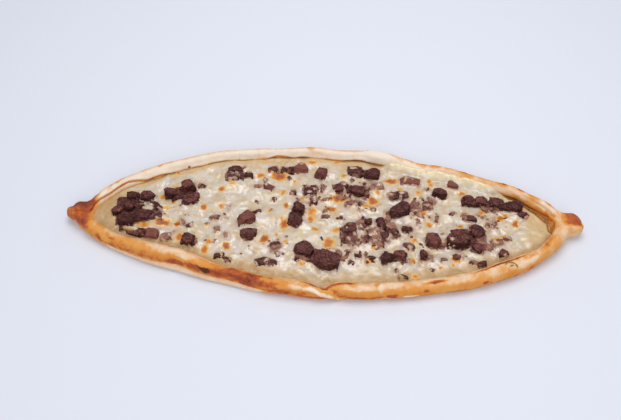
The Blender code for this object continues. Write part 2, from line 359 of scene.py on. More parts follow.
class Graph:
    """A node tree, with short ways to add nodes and join them."""

    def __init__(self, tree: bpy.types.NodeTree) -> None:
        """Take over a tree to build in."""
        self.tree = tree

    def add(self, kind: str, **settings: object) -> bpy.types.Node:
        """Add a node and set its properties."""
        node = self.tree.nodes.new("ShaderNode" + kind)
        for name, value in settings.items():
            setattr(node, name, value)
        return node

    def feed(self, socket: bpy.types.NodeSocket, value: object) -> None:
        """Join an output to a socket, or set the socket's own value."""
        if isinstance(value, bpy.types.NodeSocket):
            self.tree.links.new(value, socket)
        elif isinstance(value, tuple) and len(value) == 3 and socket.type == "RGBA":
            socket.default_value = (*value, 1.0)
        else:
            socket.default_value = value

    def sum(self, operation: str, *values: object, clamp: bool = False) -> bpy.types.NodeSocket:
        """One step of arithmetic on values or sockets."""
        node = self.add("Math", operation=operation, use_clamp=clamp)
        for socket, value in zip(node.inputs, values):
            self.feed(socket, value)
        return node.outputs[0]

    def mix(self, share: object, first: object, second: object,
            blend: str = "MIX") -> bpy.types.NodeSocket:
        """Mix two colours by a share."""
        node = self.add("Mix", data_type="RGBA", blend_type=blend)
        self.feed(node.inputs["Factor"], share)
        self.feed(node.inputs["A"], first)
        self.feed(node.inputs["B"], second)
        return node.outputs["Result"]

    def span(self, value: object, low: float, high: float,
             to_low: float = 0.0, to_high: float = 1.0) -> bpy.types.NodeSocket:
        """Stretch the run from low to high over another, smoothly and clamped."""
        node = self.add("MapRange", interpolation_type="SMOOTHSTEP")
        for name, number in (("From Min", low), ("From Max", high),
                             ("To Min", to_low), ("To Max", to_high)):
            node.inputs[name].default_value = number
        self.feed(node.inputs["Value"], value)
        return node.outputs["Result"]

    def ramp(self, value: object, stops: Sequence[tuple[float, Colour]]) -> bpy.types.NodeSocket:
        """Colours along a value."""
        node = self.add("ValToRGB")
        ramp = node.color_ramp
        while len(ramp.elements) < len(stops):
            ramp.elements.new(0.5)
        for element, (place, colour) in zip(ramp.elements, stops):
            element.position = place
            element.color = (*colour, 1.0)
        self.feed(node.inputs["Fac"], value)
        return node.outputs["Color"]

    def attribute(self, name: str) -> bpy.types.NodeSocket:
        """A number painted on the piece's vertices."""
        return self.add("Attribute", attribute_name=name).outputs["Fac"]

    def place(self) -> bpy.types.NodeSocket:
        """The point on the piece, in metres."""
        return self.add("TexCoord").outputs["Object"]

    def stretched(self, vector: object, scale: Colour, turn: float = 0.0) -> bpy.types.NodeSocket:
        """Coordinates drawn out along one way, for fibres."""
        node = self.add("Mapping")
        node.inputs["Scale"].default_value = scale
        node.inputs["Rotation"].default_value = (0.0, 0.0, turn)
        self.feed(node.inputs["Vector"], vector)
        return node.outputs["Vector"]

    def group(self, shared: bpy.types.NodeTree, **values: object) -> bpy.types.Node:
        """Place a shared effect with its own values."""
        node = self.add("Group", node_tree=shared)
        for name, value in values.items():
            self.feed(node.inputs[name], value)
        return node


def group_sockets(tree: bpy.types.NodeTree, inputs: dict[str, float | None],
                  outputs: Sequence[str]) -> None:
    """Give a shared effect its named sockets.

    Args:
        tree: The node group.
        inputs: Names with a default number, or None for a vector.
        outputs: Names of the numbers that it puts out.
    """
    for name, default in inputs.items():
        kind = "NodeSocketVector" if default is None else "NodeSocketFloat"
        socket = tree.interface.new_socket(name=name, in_out="INPUT", socket_type=kind)
        if default is not None:
            socket.default_value = default
    for name in outputs:
        tree.interface.new_socket(name=name, in_out="OUTPUT", socket_type="NodeSocketFloat")


@dataclass(frozen=True)
class SharedEffects:
    """Patterns that more than one food uses."""

    mottle_detail: float = 3.0
    pore_size: float = 0.0011

    def mottle(self) -> bpy.types.NodeTree:
        """Soft patches of two sizes, centred on 0."""
        tree = bpy.data.node_groups.new("mottle", "ShaderNodeTree")
        group_sockets(tree, {"Place": None, "Size": 0.01, "Amount": 0.2}, ["Patches"])
        graph = Graph(tree)
        inside = tree.nodes.new("NodeGroupInput").outputs
        outside = tree.nodes.new("NodeGroupOutput").inputs
        scale = graph.sum("DIVIDE", 1.0, inside["Size"])
        wide = graph.add("TexNoise")
        graph.feed(wide.inputs["Vector"], inside["Place"])
        graph.feed(wide.inputs["Scale"], scale)
        graph.feed(wide.inputs["Detail"], self.mottle_detail)
        graph.feed(wide.inputs["Roughness"], 0.62)
        centred = graph.sum("SUBTRACT", wide.outputs["Fac"], 0.5)
        graph.feed(outside["Patches"], graph.sum("MULTIPLY", centred, inside["Amount"]))
        return tree

    def pores(self) -> bpy.types.NodeTree:
        """Fine baked or melted grain, as a height and a mask of its pits."""
        tree = bpy.data.node_groups.new("pores", "ShaderNodeTree")
        group_sockets(tree, {"Place": None, "Size": self.pore_size}, ["Height", "Pits"])
        graph = Graph(tree)
        inside = tree.nodes.new("NodeGroupInput").outputs
        outside = tree.nodes.new("NodeGroupOutput").inputs
        scale = graph.sum("DIVIDE", 1.0, inside["Size"])
        fine = graph.add("TexNoise")
        cells = graph.add("TexVoronoi", feature="SMOOTH_F1")
        for node in (fine, cells):
            graph.feed(node.inputs["Vector"], inside["Place"])
            graph.feed(node.inputs["Scale"], scale)
        graph.feed(fine.inputs["Detail"], 4.0)
        height = graph.sum("MULTIPLY_ADD", cells.outputs["Distance"], 0.6,
                           fine.outputs["Fac"])
        graph.feed(outside["Height"], height)
        graph.feed(outside["Pits"], graph.span(cells.outputs["Distance"], 0.45, 0.15))
        return tree


@dataclass(frozen=True)
class Shine:
    """The plain numbers of a food's surface, set on its shader's own sockets."""

    subsurface: float = 0.0
    subsurface_scale: float = 0.002
    subsurface_radius: Colour = (1.0, 0.5, 0.25)
    specular: float = 0.5


def finish_base(name: str, shine: Shine) -> tuple[bpy.types.Material, Graph, bpy.types.Node]:
    """Start a material with one Principled shader.

    Args:
        name: Name of the finish.
        shine: Its plain numbers.

    Returns:
        The material, its graph and its shader.
    """
    made = bpy.data.materials.new(name)
    made.use_nodes = True
    graph = Graph(made.node_tree)
    shader = made.node_tree.nodes["Principled BSDF"]
    shader.inputs["Metallic"].default_value = 0.0
    shader.inputs["Subsurface Weight"].default_value = shine.subsurface
    shader.inputs["Subsurface Scale"].default_value = shine.subsurface_scale
    shader.inputs["Subsurface Radius"].default_value = shine.subsurface_radius
    shader.inputs["Specular IOR Level"].default_value = shine.specular
    return made, graph, shader


def bumped(graph: Graph, shader: bpy.types.Node, height: object, depth: float,
           strength: float) -> None:
    """Give a shader its fine relief."""
    bump = graph.add("Bump")
    graph.feed(bump.inputs["Height"], height)
    bump.inputs["Distance"].default_value = depth
    bump.inputs["Strength"].default_value = strength
    graph.feed(shader.inputs["Normal"], bump.outputs["Normal"])


@dataclass(frozen=True)
class CrustFinish:
    """Oven-baked dough, from pale cream through gold to charred."""

    flour: Colour = (0.900, 0.755, 0.615)
    dough: Colour = (0.870, 0.640, 0.450)
    cream: Colour = (0.810, 0.450, 0.205)
    gold: Colour = (0.740, 0.280, 0.045)
    honey: Colour = (0.780, 0.360, 0.085)
    amber: Colour = (0.560, 0.130, 0.026)
    brown: Colour = (0.330, 0.060, 0.022)
    umber: Colour = (0.130, 0.032, 0.020)
    char_and_painted_shade: Colour = (0.050, 0.022, 0.018)
    shine: Shine = Shine(subsurface=0.03, specular=0.15)

    def make(self, mottle: bpy.types.NodeTree, pores: bpy.types.NodeTree) -> bpy.types.Material:
        """Build the material.

        Args:
            mottle: Shared soft patches.
            pores: Shared fine grain.

        Returns:
            The crust's material.
        """
        made, graph, shader = finish_base("crust", self.shine)
        place = graph.place()
        wide = graph.group(mottle, Place=place, Size=0.010, Amount=0.52).outputs["Patches"]
        close = graph.group(mottle, Place=place, Size=0.0030, Amount=0.25).outputs["Patches"]
        # The bake attribute also carries some painted shade, in the right-hand hollow and along the fold
        # line.
        bake = graph.attribute("bake")
        unevenness = graph.sum("ADD", wide, close)
        weight = graph.span(bake, 0.0, 0.4, 0.30, 1.0)
        level = graph.sum("MULTIPLY_ADD", unevenness, weight, bake)
        yellowing = graph.group(mottle, Place=place, Size=0.019, Amount=1.0).outputs["Patches"]
        gold = graph.mix(graph.span(yellowing, -0.10, 0.14), self.gold, self.honey)
        colour = graph.ramp(level, (
            (0.05, self.flour), (0.14, self.dough), (0.28, self.cream), (0.42, self.gold),
            (0.58, self.amber), (0.74, self.brown), (0.88, self.umber), (1.00, self.char_and_painted_shade),
        ))
        golden = graph.sum("MULTIPLY", graph.span(level, 0.24, 0.40), graph.span(level, 0.62, 0.46))
        colour = graph.mix(graph.sum("MULTIPLY", golden, 0.8), colour, gold)
        # The chars include painted shade in the right-hand hollow.
        scorch_and_painted_shade = graph.sum("ADD", graph.attribute("char_and_painted_shade"), graph.sum("MULTIPLY", close, 0.8))
        colour = graph.mix(graph.span(scorch_and_painted_shade, 0.25, 0.95), colour, self.char_and_painted_shade)
        grain_node = graph.group(pores, Place=place, Size=0.0013)
        flour = graph.sum("MULTIPLY", grain_node.outputs["Pits"], 0.04)
        colour = graph.mix(flour, colour, self.flour)
        graph.feed(shader.inputs["Base Color"], colour)
        graph.feed(shader.inputs["Roughness"], graph.span(level, 0.15, 0.85, 0.62, 0.50))
        bumped(graph, shader, grain_node.outputs["Height"], 0.0004, 0.35)
        return made


@dataclass(frozen=True)
class CheeseFinish:
    """Melted cheese: ivory, yellow at the rim, toasted in spots."""

    ivory: Colour = (0.620, 0.465, 0.300)
    white: Colour = (0.720, 0.640, 0.580)
    butter: Colour = (0.730, 0.590, 0.310)
    mauve: Colour = (0.440, 0.320, 0.265)
    yellow: Colour = (0.640, 0.440, 0.225)
    curd: Colour = (0.860, 0.730, 0.490)
    # Painted shade for the hollows.
    hollow_and_painted_shade: Colour = (0.320, 0.145, 0.040)
    halo: Colour = (0.740, 0.510, 0.180)
    fat: Colour = (0.770, 0.400, 0.090)
    orange: Colour = (0.610, 0.180, 0.018)
    brown: Colour = (0.300, 0.070, 0.018)
    # These two colours follow the stain: meat tint, meat juice and painted shade round the dice.
    tinted: Colour = (0.435, 0.232, 0.165)
    juice_and_painted_shade: Colour = (0.260, 0.096, 0.062)
    speck: Colour = (0.200, 0.100, 0.080)
    shine: Shine = Shine(subsurface=0.18, subsurface_scale=0.0025, specular=0.5)

    def make(self, mottle: bpy.types.NodeTree, pores: bpy.types.NodeTree) -> bpy.types.Material:
        """Build the material.

        Args:
            mottle: Shared soft patches.
            pores: Shared fine grain.

        Returns:
            The cheese's material.
        """
        made, graph, shader = finish_base("cheese", self.shine)
        place = graph.place()
        wide = graph.group(mottle, Place=place, Size=0.010, Amount=1.3).outputs["Patches"]
        close = graph.group(mottle, Place=place, Size=0.0034, Amount=0.6).outputs["Patches"]
        thick = graph.span(graph.sum("ADD", wide, close), -0.22, 0.20)
        colour = graph.mix(thick, self.ivory, self.white)
        rich = graph.group(mottle, Place=place, Size=0.0130, Amount=1.0).outputs["Patches"]
        colour = graph.mix(graph.span(rich, 0.04, 0.20, 0.0, 0.75), colour, self.butter)
        cloud = graph.group(mottle, Place=place, Size=0.0075, Amount=1.0).outputs["Patches"]
        colour = graph.mix(graph.span(cloud, -0.06, -0.22, 0.0, 0.68), colour, self.mauve)
        edge = graph.sum("ADD", graph.attribute("edge"), graph.sum("MULTIPLY", wide, 0.9))
        colour = graph.mix(graph.span(edge, 0.05, 0.85), colour, self.yellow)
        lapped = graph.sum("MULTIPLY_ADD", close, 0.5, graph.attribute("edge"))
        colour = graph.mix(graph.span(lapped, -0.15, -0.80), colour, self.curd)
        drops = graph.group(mottle, Place=place, Size=0.0048, Amount=1.0).outputs["Patches"]
        colour = graph.mix(graph.span(drops, 0.13, 0.24, 0.0, 0.55), colour, self.halo)
        # The stain is meat tint from the crumbs and from meat under thin cheese, plus painted shade round the
        # foot of each die. Its darkest part takes the juice colour.
        stain_and_painted_shade = graph.sum("MULTIPLY_ADD", close, 0.9, graph.attribute("stain_and_painted_shade"))
        colour = graph.mix(graph.span(stain_and_painted_shade, 0.08, 0.62, 0.0, 0.90), colour, self.tinted)
        colour = graph.mix(graph.span(stain_and_painted_shade, 0.50, 1.15, 0.0, 0.90), colour, self.juice_and_painted_shade)
        fine = graph.group(mottle, Place=place, Size=0.0014, Amount=1.0).outputs["Patches"]
        specks = graph.sum("MULTIPLY_ADD", graph.attribute("stain_and_painted_shade"), 0.20, fine)
        colour = graph.mix(graph.span(specks, 0.20, 0.32, 0.0, 0.60), colour, self.speck)
        # sunk paints the hollows brown as painted shade: the right-hand hollow, the foot of both rims and the
        # left end's floor.
        sunk = graph.sum("MULTIPLY_ADD", close, 0.7, graph.attribute("hollow_and_painted_shade"))
        colour = graph.mix(graph.span(sunk, 0.12, 0.85), colour, self.hollow_and_painted_shade)
        toast = graph.sum("MULTIPLY_ADD", close, 0.90, graph.attribute("toast"))
        toast = graph.sum("MULTIPLY_ADD", fine, 0.35, toast)
        toasted = graph.ramp(toast, (
            (0.06, self.halo), (0.26, self.fat), (0.52, self.orange), (0.92, self.brown),
        ))
        colour = graph.mix(graph.span(toast, -0.02, 0.24), colour, toasted)
        graph.feed(shader.inputs["Base Color"], colour)
        gloss = graph.sum("ADD", graph.attribute("edge"), graph.sum("MULTIPLY", wide, 0.6))
        rough = graph.span(gloss, 0.0, 1.0, 0.28, 0.44)
        rough = graph.sum("MULTIPLY_ADD", graph.span(toast, 0.10, 0.40), 0.22, rough)
        graph.feed(shader.inputs["Roughness"], rough)
        wet = graph.span(wide, -0.25, 0.15, 0.15, 0.95)
        wet = graph.sum("MULTIPLY", wet, graph.span(toast, 0.20, 0.0))
        wet = graph.sum("MULTIPLY", wet, graph.span(sunk, 0.80, 0.30))
        wet = graph.sum("MULTIPLY", wet, graph.span(gloss, 0.90, 0.10, 0.30, 1.0))
        graph.feed(shader.inputs["Coat Weight"], wet)
        shader.inputs["Coat Roughness"].default_value = 0.10
        grain_node = graph.group(pores, Place=place, Size=0.0016)
        bumped(graph, shader, grain_node.outputs["Height"], 0.00030, 0.22)
        return made


@dataclass(frozen=True)
class MeatFinish:
    """Braised diced meat: dark plum brown, with redder cuts and smears of cheese."""

    dark: Colour = (0.020, 0.0045, 0.0040)
    plum: Colour = (0.062, 0.0140, 0.0125)
    pale: Colour = (0.245, 0.086, 0.068)
    red: Colour = (0.245, 0.078, 0.055)
    cheese: Colour = (0.455, 0.228, 0.158)
    fleck: Colour = (0.440, 0.265, 0.220)
    shine: Shine = Shine(specular=0.16)

    def make(self, mottle: bpy.types.NodeTree, pores: bpy.types.NodeTree) -> bpy.types.Material:
        """Build the material.

        Args:
            mottle: Shared soft patches.
            pores: Shared fine grain.

        Returns:
            The meat's material.
        """
        made, graph, shader = finish_base("meat", self.shine)
        place = graph.place()
        wide = graph.group(mottle, Place=place, Size=0.0045, Amount=1.0).outputs["Patches"]
        drawn = graph.stretched(place, (0.45, 1.0, 0.7), 0.5)
        fibre = graph.group(mottle, Place=drawn, Size=0.0012, Amount=1.0).outputs["Patches"]
        flecks = graph.group(mottle, Place=place, Size=0.0011, Amount=1.1).outputs["Patches"]
        level = graph.sum("ADD", graph.sum("MULTIPLY_ADD", wide, 0.9, fibre), flecks)
        # The tone attribute is partly painted light: tops and one side are lighter and torn pits are darker,
        # so the pale end of this ramp is partly a painted highlight.
        level = graph.sum("ADD", level, graph.attribute("tone_and_painted_light"))
        colour = graph.ramp(level, (
            (0.12, self.dark), (0.50, self.plum), (1.00, self.pale),
        ))
        redness = graph.sum("MULTIPLY_ADD", wide, 0.8, graph.attribute("redness"))
        colour = graph.mix(graph.span(redness, 0.2, 1.0, 0.0, 0.9), colour, self.red)
        colour = graph.mix(graph.span(flecks, 0.12, 0.28, 0.0, 0.60), colour, self.fleck)
        film = graph.sum("MULTIPLY_ADD", fibre, 0.6, graph.attribute("film"))
        film = graph.sum("MULTIPLY_ADD", wide, 0.5, film)
        colour = graph.mix(graph.span(film, 0.28, 0.95, 0.0, 0.80), colour, self.cheese)
        graph.feed(shader.inputs["Base Color"], colour)
        graph.feed(shader.inputs["Roughness"], graph.span(level, 0.2, 0.9, 0.36, 0.62))
        height = graph.sum("MULTIPLY_ADD", fibre, 1.0,
                           graph.group(pores, Place=place, Size=0.0009).outputs["Height"])
        bumped(graph, shader, height, 0.0005, 0.6)
        return made


@dataclass(frozen=True)
class HerbFinish:
    """A dried herb's dull green."""

    leaf: Colour = (0.165, 0.150, 0.045)
    vein: Colour = (0.290, 0.250, 0.100)
    shine: Shine = Shine(specular=0.3)

    def make(self, mottle: bpy.types.NodeTree) -> bpy.types.Material:
        """Build the material from the shared soft patches."""
        made, graph, shader = finish_base("herb", self.shine)
        patches = graph.group(mottle, Place=graph.place(), Size=0.0015, Amount=1.6)
        share = graph.sum("ADD", patches.outputs["Patches"], 0.5)
        graph.feed(shader.inputs["Base Color"], graph.mix(share, self.leaf, self.vein))
        shader.inputs["Roughness"].default_value = 0.7
        return made


# --------------------------------------------------------------------- crust


@dataclass(frozen=True)
class Dab:
    """A patch on the rim: its middle, its size and what it adds.

    Round the rim, turn is -1 at the outer foot, 0 at the outer waist, 1 on top,
    2 at the inner waist and 3 in the middle of the floor.
    """

    bank: Bank
    x: float
    turn: float
    length: float
    breadth: float
    amount: float
    slant: float = 0.0


@dataclass(frozen=True)
class Crease:
    """A groove or ridge on the rim, from one place to another."""

    bank: Bank
    x0: float
    turn0: float
    x1: float
    turn1: float
    width: float
    depth: float


@dataclass
class Crust:
    """The dough boat with its folded rims, pinched ends and baked colours."""

    hull: Hull
    finish: bpy.types.Material
    rings: int = 700
    turn_length: float = 0.009
    lip: float = 0.0010
    undercut: float = 0.0014
    lump: float = 0.0005
    blister: float = 0.00026
    pleat: float = 0.0006
    foot_width: tuple[tuple[float, float], ...] = (
        (-0.202, 0.0), (-0.195, 0.0006), (-0.180, 0.0012), (-0.162, 0.0016),
        (-0.144, 0.0020), (-0.131, 0.0036), (-0.122, 0.0044), (-0.112, 0.0034),
        (-0.098, 0.0024), (-0.086, 0.0028), (-0.070, 0.0025), (-0.060, 0.0018),
        (-0.050, 0.0010), (-0.040, 0.0),
    )
    far_fold: tuple[tuple[float, float], ...] = (
        (-0.203, 1.24), (-0.199, 1.37), (-0.193, 1.48), (-0.185, 1.52), (-0.177, 1.46),
        (-0.165, 1.66), (-0.151, 1.70), (-0.141, 1.85), (-0.116, 1.95), (-0.055, 2.00),
        (-0.045, 1.80), (-0.033, 1.79), (-0.021, 1.84), (-0.009, 1.98), (0.008, 1.96),
        (0.026, 1.87), (0.042, 1.83), (0.060, 1.90), (0.120, 1.95), (0.200, 1.90),
    )
    far_seam: tuple[tuple[float, float], ...] = (
        (0.048, 1.0), (0.062, 0.15), (0.152, 0.15), (0.170, 0.45), (0.200, 0.35),
    )
    base_steps: int = 4
    outer_steps: int = 29
    inner_steps: int = 18
    wall_steps: int = 4
    floor_steps: int = 5
    knob_crease: float = 0.03
    near_bake: tuple[tuple[float, float], ...] = (
        (-2.0, 0.34), (-1.0, 0.44), (-0.7, 0.52), (-0.2, 0.52), (0.4, 0.47),
        (0.8, 0.38), (1.1, 0.29), (1.5, 0.24), (1.9, 0.34), (2.2, 0.18), (3.0, 0.20),
    )
    far_bake: tuple[tuple[float, float], ...] = (
        (-2.0, 0.30), (-1.0, 0.32), (-0.5, 0.48), (0.2, 0.50), (0.62, 0.42),
        (0.85, 0.20), (1.05, 0.06), (1.70, 0.08), (1.86, 0.22), (2.02, 0.45),
        (2.2, 0.20), (3.0, 0.20),
    )
    bakes_and_shade: tuple[Dab, ...] = ()
    chars_and_shade: tuple[Dab, ...] = ()
    lumps: tuple[Dab, ...] = ()
    creases: tuple[Crease, ...] = ()

    def section(self, side: Side, x: float) -> list[tuple[float, float, float]]:
        """Half a section, from the middle of the base round to the middle of the floor.

        Args:
            side: The side to draw.
            x: Place along the boat.

        Returns:
            Distance from the keel, height and turn of each point.
        """
        hull = self.hull
        half, width, top = hull.outer(side, x), hull.width(side, x), hull.height(side, x)
        waist = hull.waist * top
        ridge = half - 0.5 * width
        tuck = along(self.foot_width, x) if side.bank is Bank.NEAR else 0.0
        points = [(ridge * i / self.base_steps, 0.0, -2.0 + i / self.base_steps)
                  for i in range(self.base_steps)]
        for step in range(self.outer_steps + 1):
            turn = -1.0 + 2.0 * step / self.outer_steps
            angle = turn * math.pi / 2.0
            rise = waist if turn < 0 else top - waist
            across = 0.5 * width * max(math.cos(angle), 0.0) ** (0.5 if turn < 0 else 0.8)
            set_back = tuck * smoothstep(-0.42, -0.10, turn) * smoothstep(1.3, 0.3, turn)
            points.append((ridge + across - set_back, waist + rise * math.sin(angle), turn))
        inside = []
        for step in range(1, self.inner_steps + 1):
            turn = 1.0 + 1.0 * (step / self.inner_steps) ** 0.8
            angle = (2.0 - turn) * math.pi / 2.0
            across = 0.5 * width * max(math.cos(angle), 0.0) ** 0.8
            inside.append((ridge - across, waist + (top - waist) * math.sin(angle), turn))
        edge = half - width
        for step in range(1, self.wall_steps + 1):
            t = step / self.wall_steps
            inside.append((edge, waist + (hull.floor - waist) * t, 2.0 + 0.5 * t))
        for step in range(1, self.floor_steps + 1):
            t = step / self.floor_steps
            inside.append((edge * (1.0 - t), hull.floor, 2.5 + 0.5 * t))
        share = hull.knob_share(x)
        for step, (y, z, turn) in enumerate(inside, start=1):
            t = step / len(inside)
            knob_y, knob_z = ridge * (1.0 - t), top * (1.0 - self.knob_crease * t)
            points.append((y + (knob_y - y) * share, z + (knob_z - z) * share,
                           turn + (1.0 - turn) * share))
        lift, fade = hull.lift(x), hull.fade(x)
        raised = [(y, lift + z * (1.0 - lift / top), turn) for y, z, turn in points]
        return [(y, waist + (z - waist) * fade, turn) for y, z, turn in raised]

    def patch(self, dab: Dab, side: Side, x: float, turn: float, jitter: Vector) -> float:
        """How much one dab adds at a place, with an uneven edge."""
        if dab.bank is not side.bank or abs(x - dab.x) > 1.2 * dab.length + dab.breadth:
            return 0.0
        ragged = 0.0018 * min(1.0, dab.breadth / 0.005)
        run = x - dab.x + ragged * jitter.x
        rise = (turn - dab.turn) * self.turn_length + 0.75 * ragged * jitter.y
        cos, sin = math.cos(dab.slant), math.sin(dab.slant)
        a = (run * cos + rise * sin) / (0.5 * dab.length)
        b = (rise * cos - run * sin) / (0.5 * dab.breadth)
        return dab.amount * smoothstep(1.35, 0.45, math.hypot(a, b))

    def line(self, crease: Crease, side: Side, x: float, turn: float) -> float:
        """Depth of one crease at a place."""
        if crease.bank is not side.bank:
            return 0.0
        low, high = min(crease.x0, crease.x1), max(crease.x0, crease.x1)
        if not low - 4.0 * crease.width < x < high + 4.0 * crease.width:
            return 0.0
        start = Vector((crease.x0, crease.turn0 * self.turn_length))
        run = Vector((crease.x1, crease.turn1 * self.turn_length)) - start
        here = Vector((x, turn * self.turn_length)) - start
        t = min(max(here.dot(run) / run.length_squared, 0.0), 1.0)
        ends = smoothstep(0.0, 0.2, t) * smoothstep(1.0, 0.8, t)
        return crease.depth * bell((here - run * t).length, crease.width) * (0.25 + 0.75 * ends)

    def relief(self, side: Side, x: float, turn: float, point: Vector) -> float:
        """How far the surface stands off the plain form.

        Args:
            side: Side of the boat.
            x: Place along it.
            turn: Place round the rim.
            point: The point on the plain form.

        Returns:
            Height along the surface's own direction.
        """
        rim = smoothstep(-1.3, -0.8, turn) * smoothstep(2.45, 2.15, turn)
        if rim == 0.0:
            return 0.0
        height = self.lump * grain(point, 0.021, 3.0) + 0.6 * self.lump * grain(point, 0.009, 5.0)
        height += self.blister * grain(point, 0.0034, 8.0)
        fold = self.fold(side, x)
        strength = 0.75 + 0.5 * grain(Vector((x, 0.0, 0.0)), 0.020, 14.0 + side.bank.value)
        seam = along(self.far_seam, x) if side.bank is Bank.FAR else 1.0
        height += seam * self.lip * strength * bell(turn - fold + 0.16, 0.13)
        height -= seam * self.undercut * bell(turn - fold - 0.06, 0.09)
        for dab in self.lumps:
            height += self.patch(dab, side, x, turn, Vector((0.0, 0.0, 0.0)))
        for crease in self.creases:
            height += self.line(crease, side, x, turn)
        if abs(x) > 0.203:
            pinch = math.sin(point.y / 0.0016 + 2.5 * grain(point, 0.011, 61.0))
            share = 1.3 if x < 0.0 else 0.3
            height += share * self.pleat * smoothstep(0.203, 0.211, abs(x)) * pinch
            height += 0.9 * self.pleat * grain(point, 0.006, 63.0)
        return height * rim

    def fold(self, side: Side, x: float) -> float:
        """Where round the rim the folded dough ends, on the inside."""
        wave = 0.15 * grain(Vector((x, 0.0, 0.0)), 0.012, 11.0 + side.bank.value)
        return (along(self.far_fold, x) if side.bank is Bank.FAR else 1.88) + wave

    def colour(self, side: Side, x: float, turn: float, point: Vector) -> tuple[float, float]:
        """How baked and how charred the dough is at a place."""
        # Some dabs and chars are painted shade in the right-hand hollow, and the fold line is partly painted
        # shade.
        stops = self.near_bake if side.bank is Bank.NEAR else self.far_bake
        jitter = noise.noise_vector(point / 0.0045) + noise.noise_vector(point / 0.0016) * 0.4
        share = self.hull.knob_share(x)
        bake = along(stops, turn + 0.06 * jitter.z)
        if side.bank is Bank.NEAR:
            foot = smoothstep(0.0003, 0.0012, along(self.foot_width, x))
            bake += (0.17 - bake) * foot * smoothstep(-0.02, -0.14, turn + 0.05 * jitter.z)
        # The dark line at the inner fold is partly the fold's own browning and partly painted shade under the
        # overhang.
        line = 0.26 if side.bank is Bank.NEAR else 0.54 * along(self.far_seam, x)
        edge = line * bell(turn - self.fold(side, x) - 0.05 + 0.03 * jitter.y, 0.085)
        bake += edge * (0.75 + 0.5 * grain(Vector((x, 0.0, 0.0)), 0.016, 17.0))
        bake += (self.knob_bake(point) - bake) * share
        bake += sum(self.patch(dab, side, x, turn, jitter) for dab in self.bakes_and_shade)
        bake -= 0.6 * max(bake - 0.62, 0.0)
        char_and_painted_shade = sum(self.patch(dab, side, x, turn, jitter) for dab in self.chars_and_shade)
        return min(max(bake, 0.0), 1.0), min(max(char_and_painted_shade, 0.0), 1.0)

    def knob_bake(self, point: Vector) -> float:
        """How baked a pinched end is: dark on top, paler round its sides."""
        rise = smoothstep(0.0090, 0.0142, point.z + 0.0008 * grain(point, 0.004, 2.0))
        if point.x < 0.0:
            back = smoothstep(-0.002, 0.009, point.y)
            foot = smoothstep(0.0075, 0.0035, point.z) * smoothstep(0.002, -0.004, point.y)
            bake = 0.58 + 0.12 * rise + 0.36 * back + 0.10 * grain(point, 0.008, 71.0)
            return bake - 0.22 * foot
        end = smoothstep(0.2225, 0.2265, point.x)
        uneven = 0.0012 * grain(point, 0.0035, 73.0)
        crown = rise * smoothstep(0.2055, 0.2130, point.x + uneven)
        crown *= smoothstep(-0.0072, -0.0016, point.y + uneven)
        return 0.24 + 0.49 * max(crown, 0.45 * end)

    def build(self) -> bpy.types.Object:
        """Model and paint the boat, and stand it in for the plain crust."""
        rings, marks = [], []
        for x in self.hull.stations(self.rings):
            far, near = self.section(FAR, x), self.section(NEAR, x)
            near = near[-2:0:-1]
            rings.append([Vector((x, y, z)) for y, z, _ in far]
                         + [Vector((x, -y, z)) for y, z, _ in near])
            marks.append([(FAR, turn) for _, _, turn in far]
                         + [(NEAR, turn) for _, _, turn in near])
        body, table = loft(rings, ("turn", "bank", "bake", "char_and_painted_shade"))
        turn_layer, bank_layer, bake_layer, char_and_shade_layer = body.verts.layers.float.values()
        for row, mark in zip(table, marks):
            for place, vert in enumerate(row):
                side, turn = mark[place % len(mark)]
                vert[turn_layer], vert[bank_layer] = turn, side.bank.value
        shares = self.map_shares([turn for _, turn in marks[len(marks) // 2]])
        map_tube(body, table, lambda place: shares[place])
        close_tube(body)
        moves = []
        for vert in body.verts:
            side = FAR if vert[bank_layer] > 0.0 else NEAR
            turn, x = vert[turn_layer], vert.co.x
            vert[bake_layer], vert[char_and_shade_layer] = self.colour(side, x, turn, vert.co)
            moves.append(vert.normal * self.relief(side, x, turn, vert.co))
        for vert, move in zip(body.verts, moves):
            vert.co += move
            vert.co.z = max(vert.co.z, 0.0)
        bmesh.ops.translate(body, vec=Vector((0.0, self.hull.keel_y, 0.0)), verts=body.verts)
        made = piece("crust_baked", body, self.finish)
        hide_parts(Food.CRUST.value)
        return made

    def map_shares(self, turns: Sequence[float]) -> list[float]:
        """Share of the bake map's height at each place, with more room for the rims."""
        total, heights = 0.0, [0.0]
        for place, turn in enumerate(turns):
            following = turns[(place + 1) % len(turns)]
            on_rim = -1.05 < 0.5 * (turn + following) < 2.3
            total += 1.0 if on_rim else 2.0
            heights.append(total)
        return [0.002 + 0.996 * height / total for height in heights]


# -------------------------------------------------------------------- cheese


@dataclass(frozen=True)
class Spot:
    """A toasted spot or a spill on the cheese: its middle, size and strength."""

    x: float
    y: float
    length: float
    depth: float
    amount: float

    def share(self, x: float, y: float) -> float:
        """How much of the spot is at a place."""
        a = (x - self.x * MM) / (0.5 * self.length * MM)
        b = (y - self.y * MM) / (0.5 * self.depth * MM)
        reach = math.hypot(a, b)
        return self.amount * smoothstep(1.65, 0.25, reach) if reach < 1.65 else 0.0


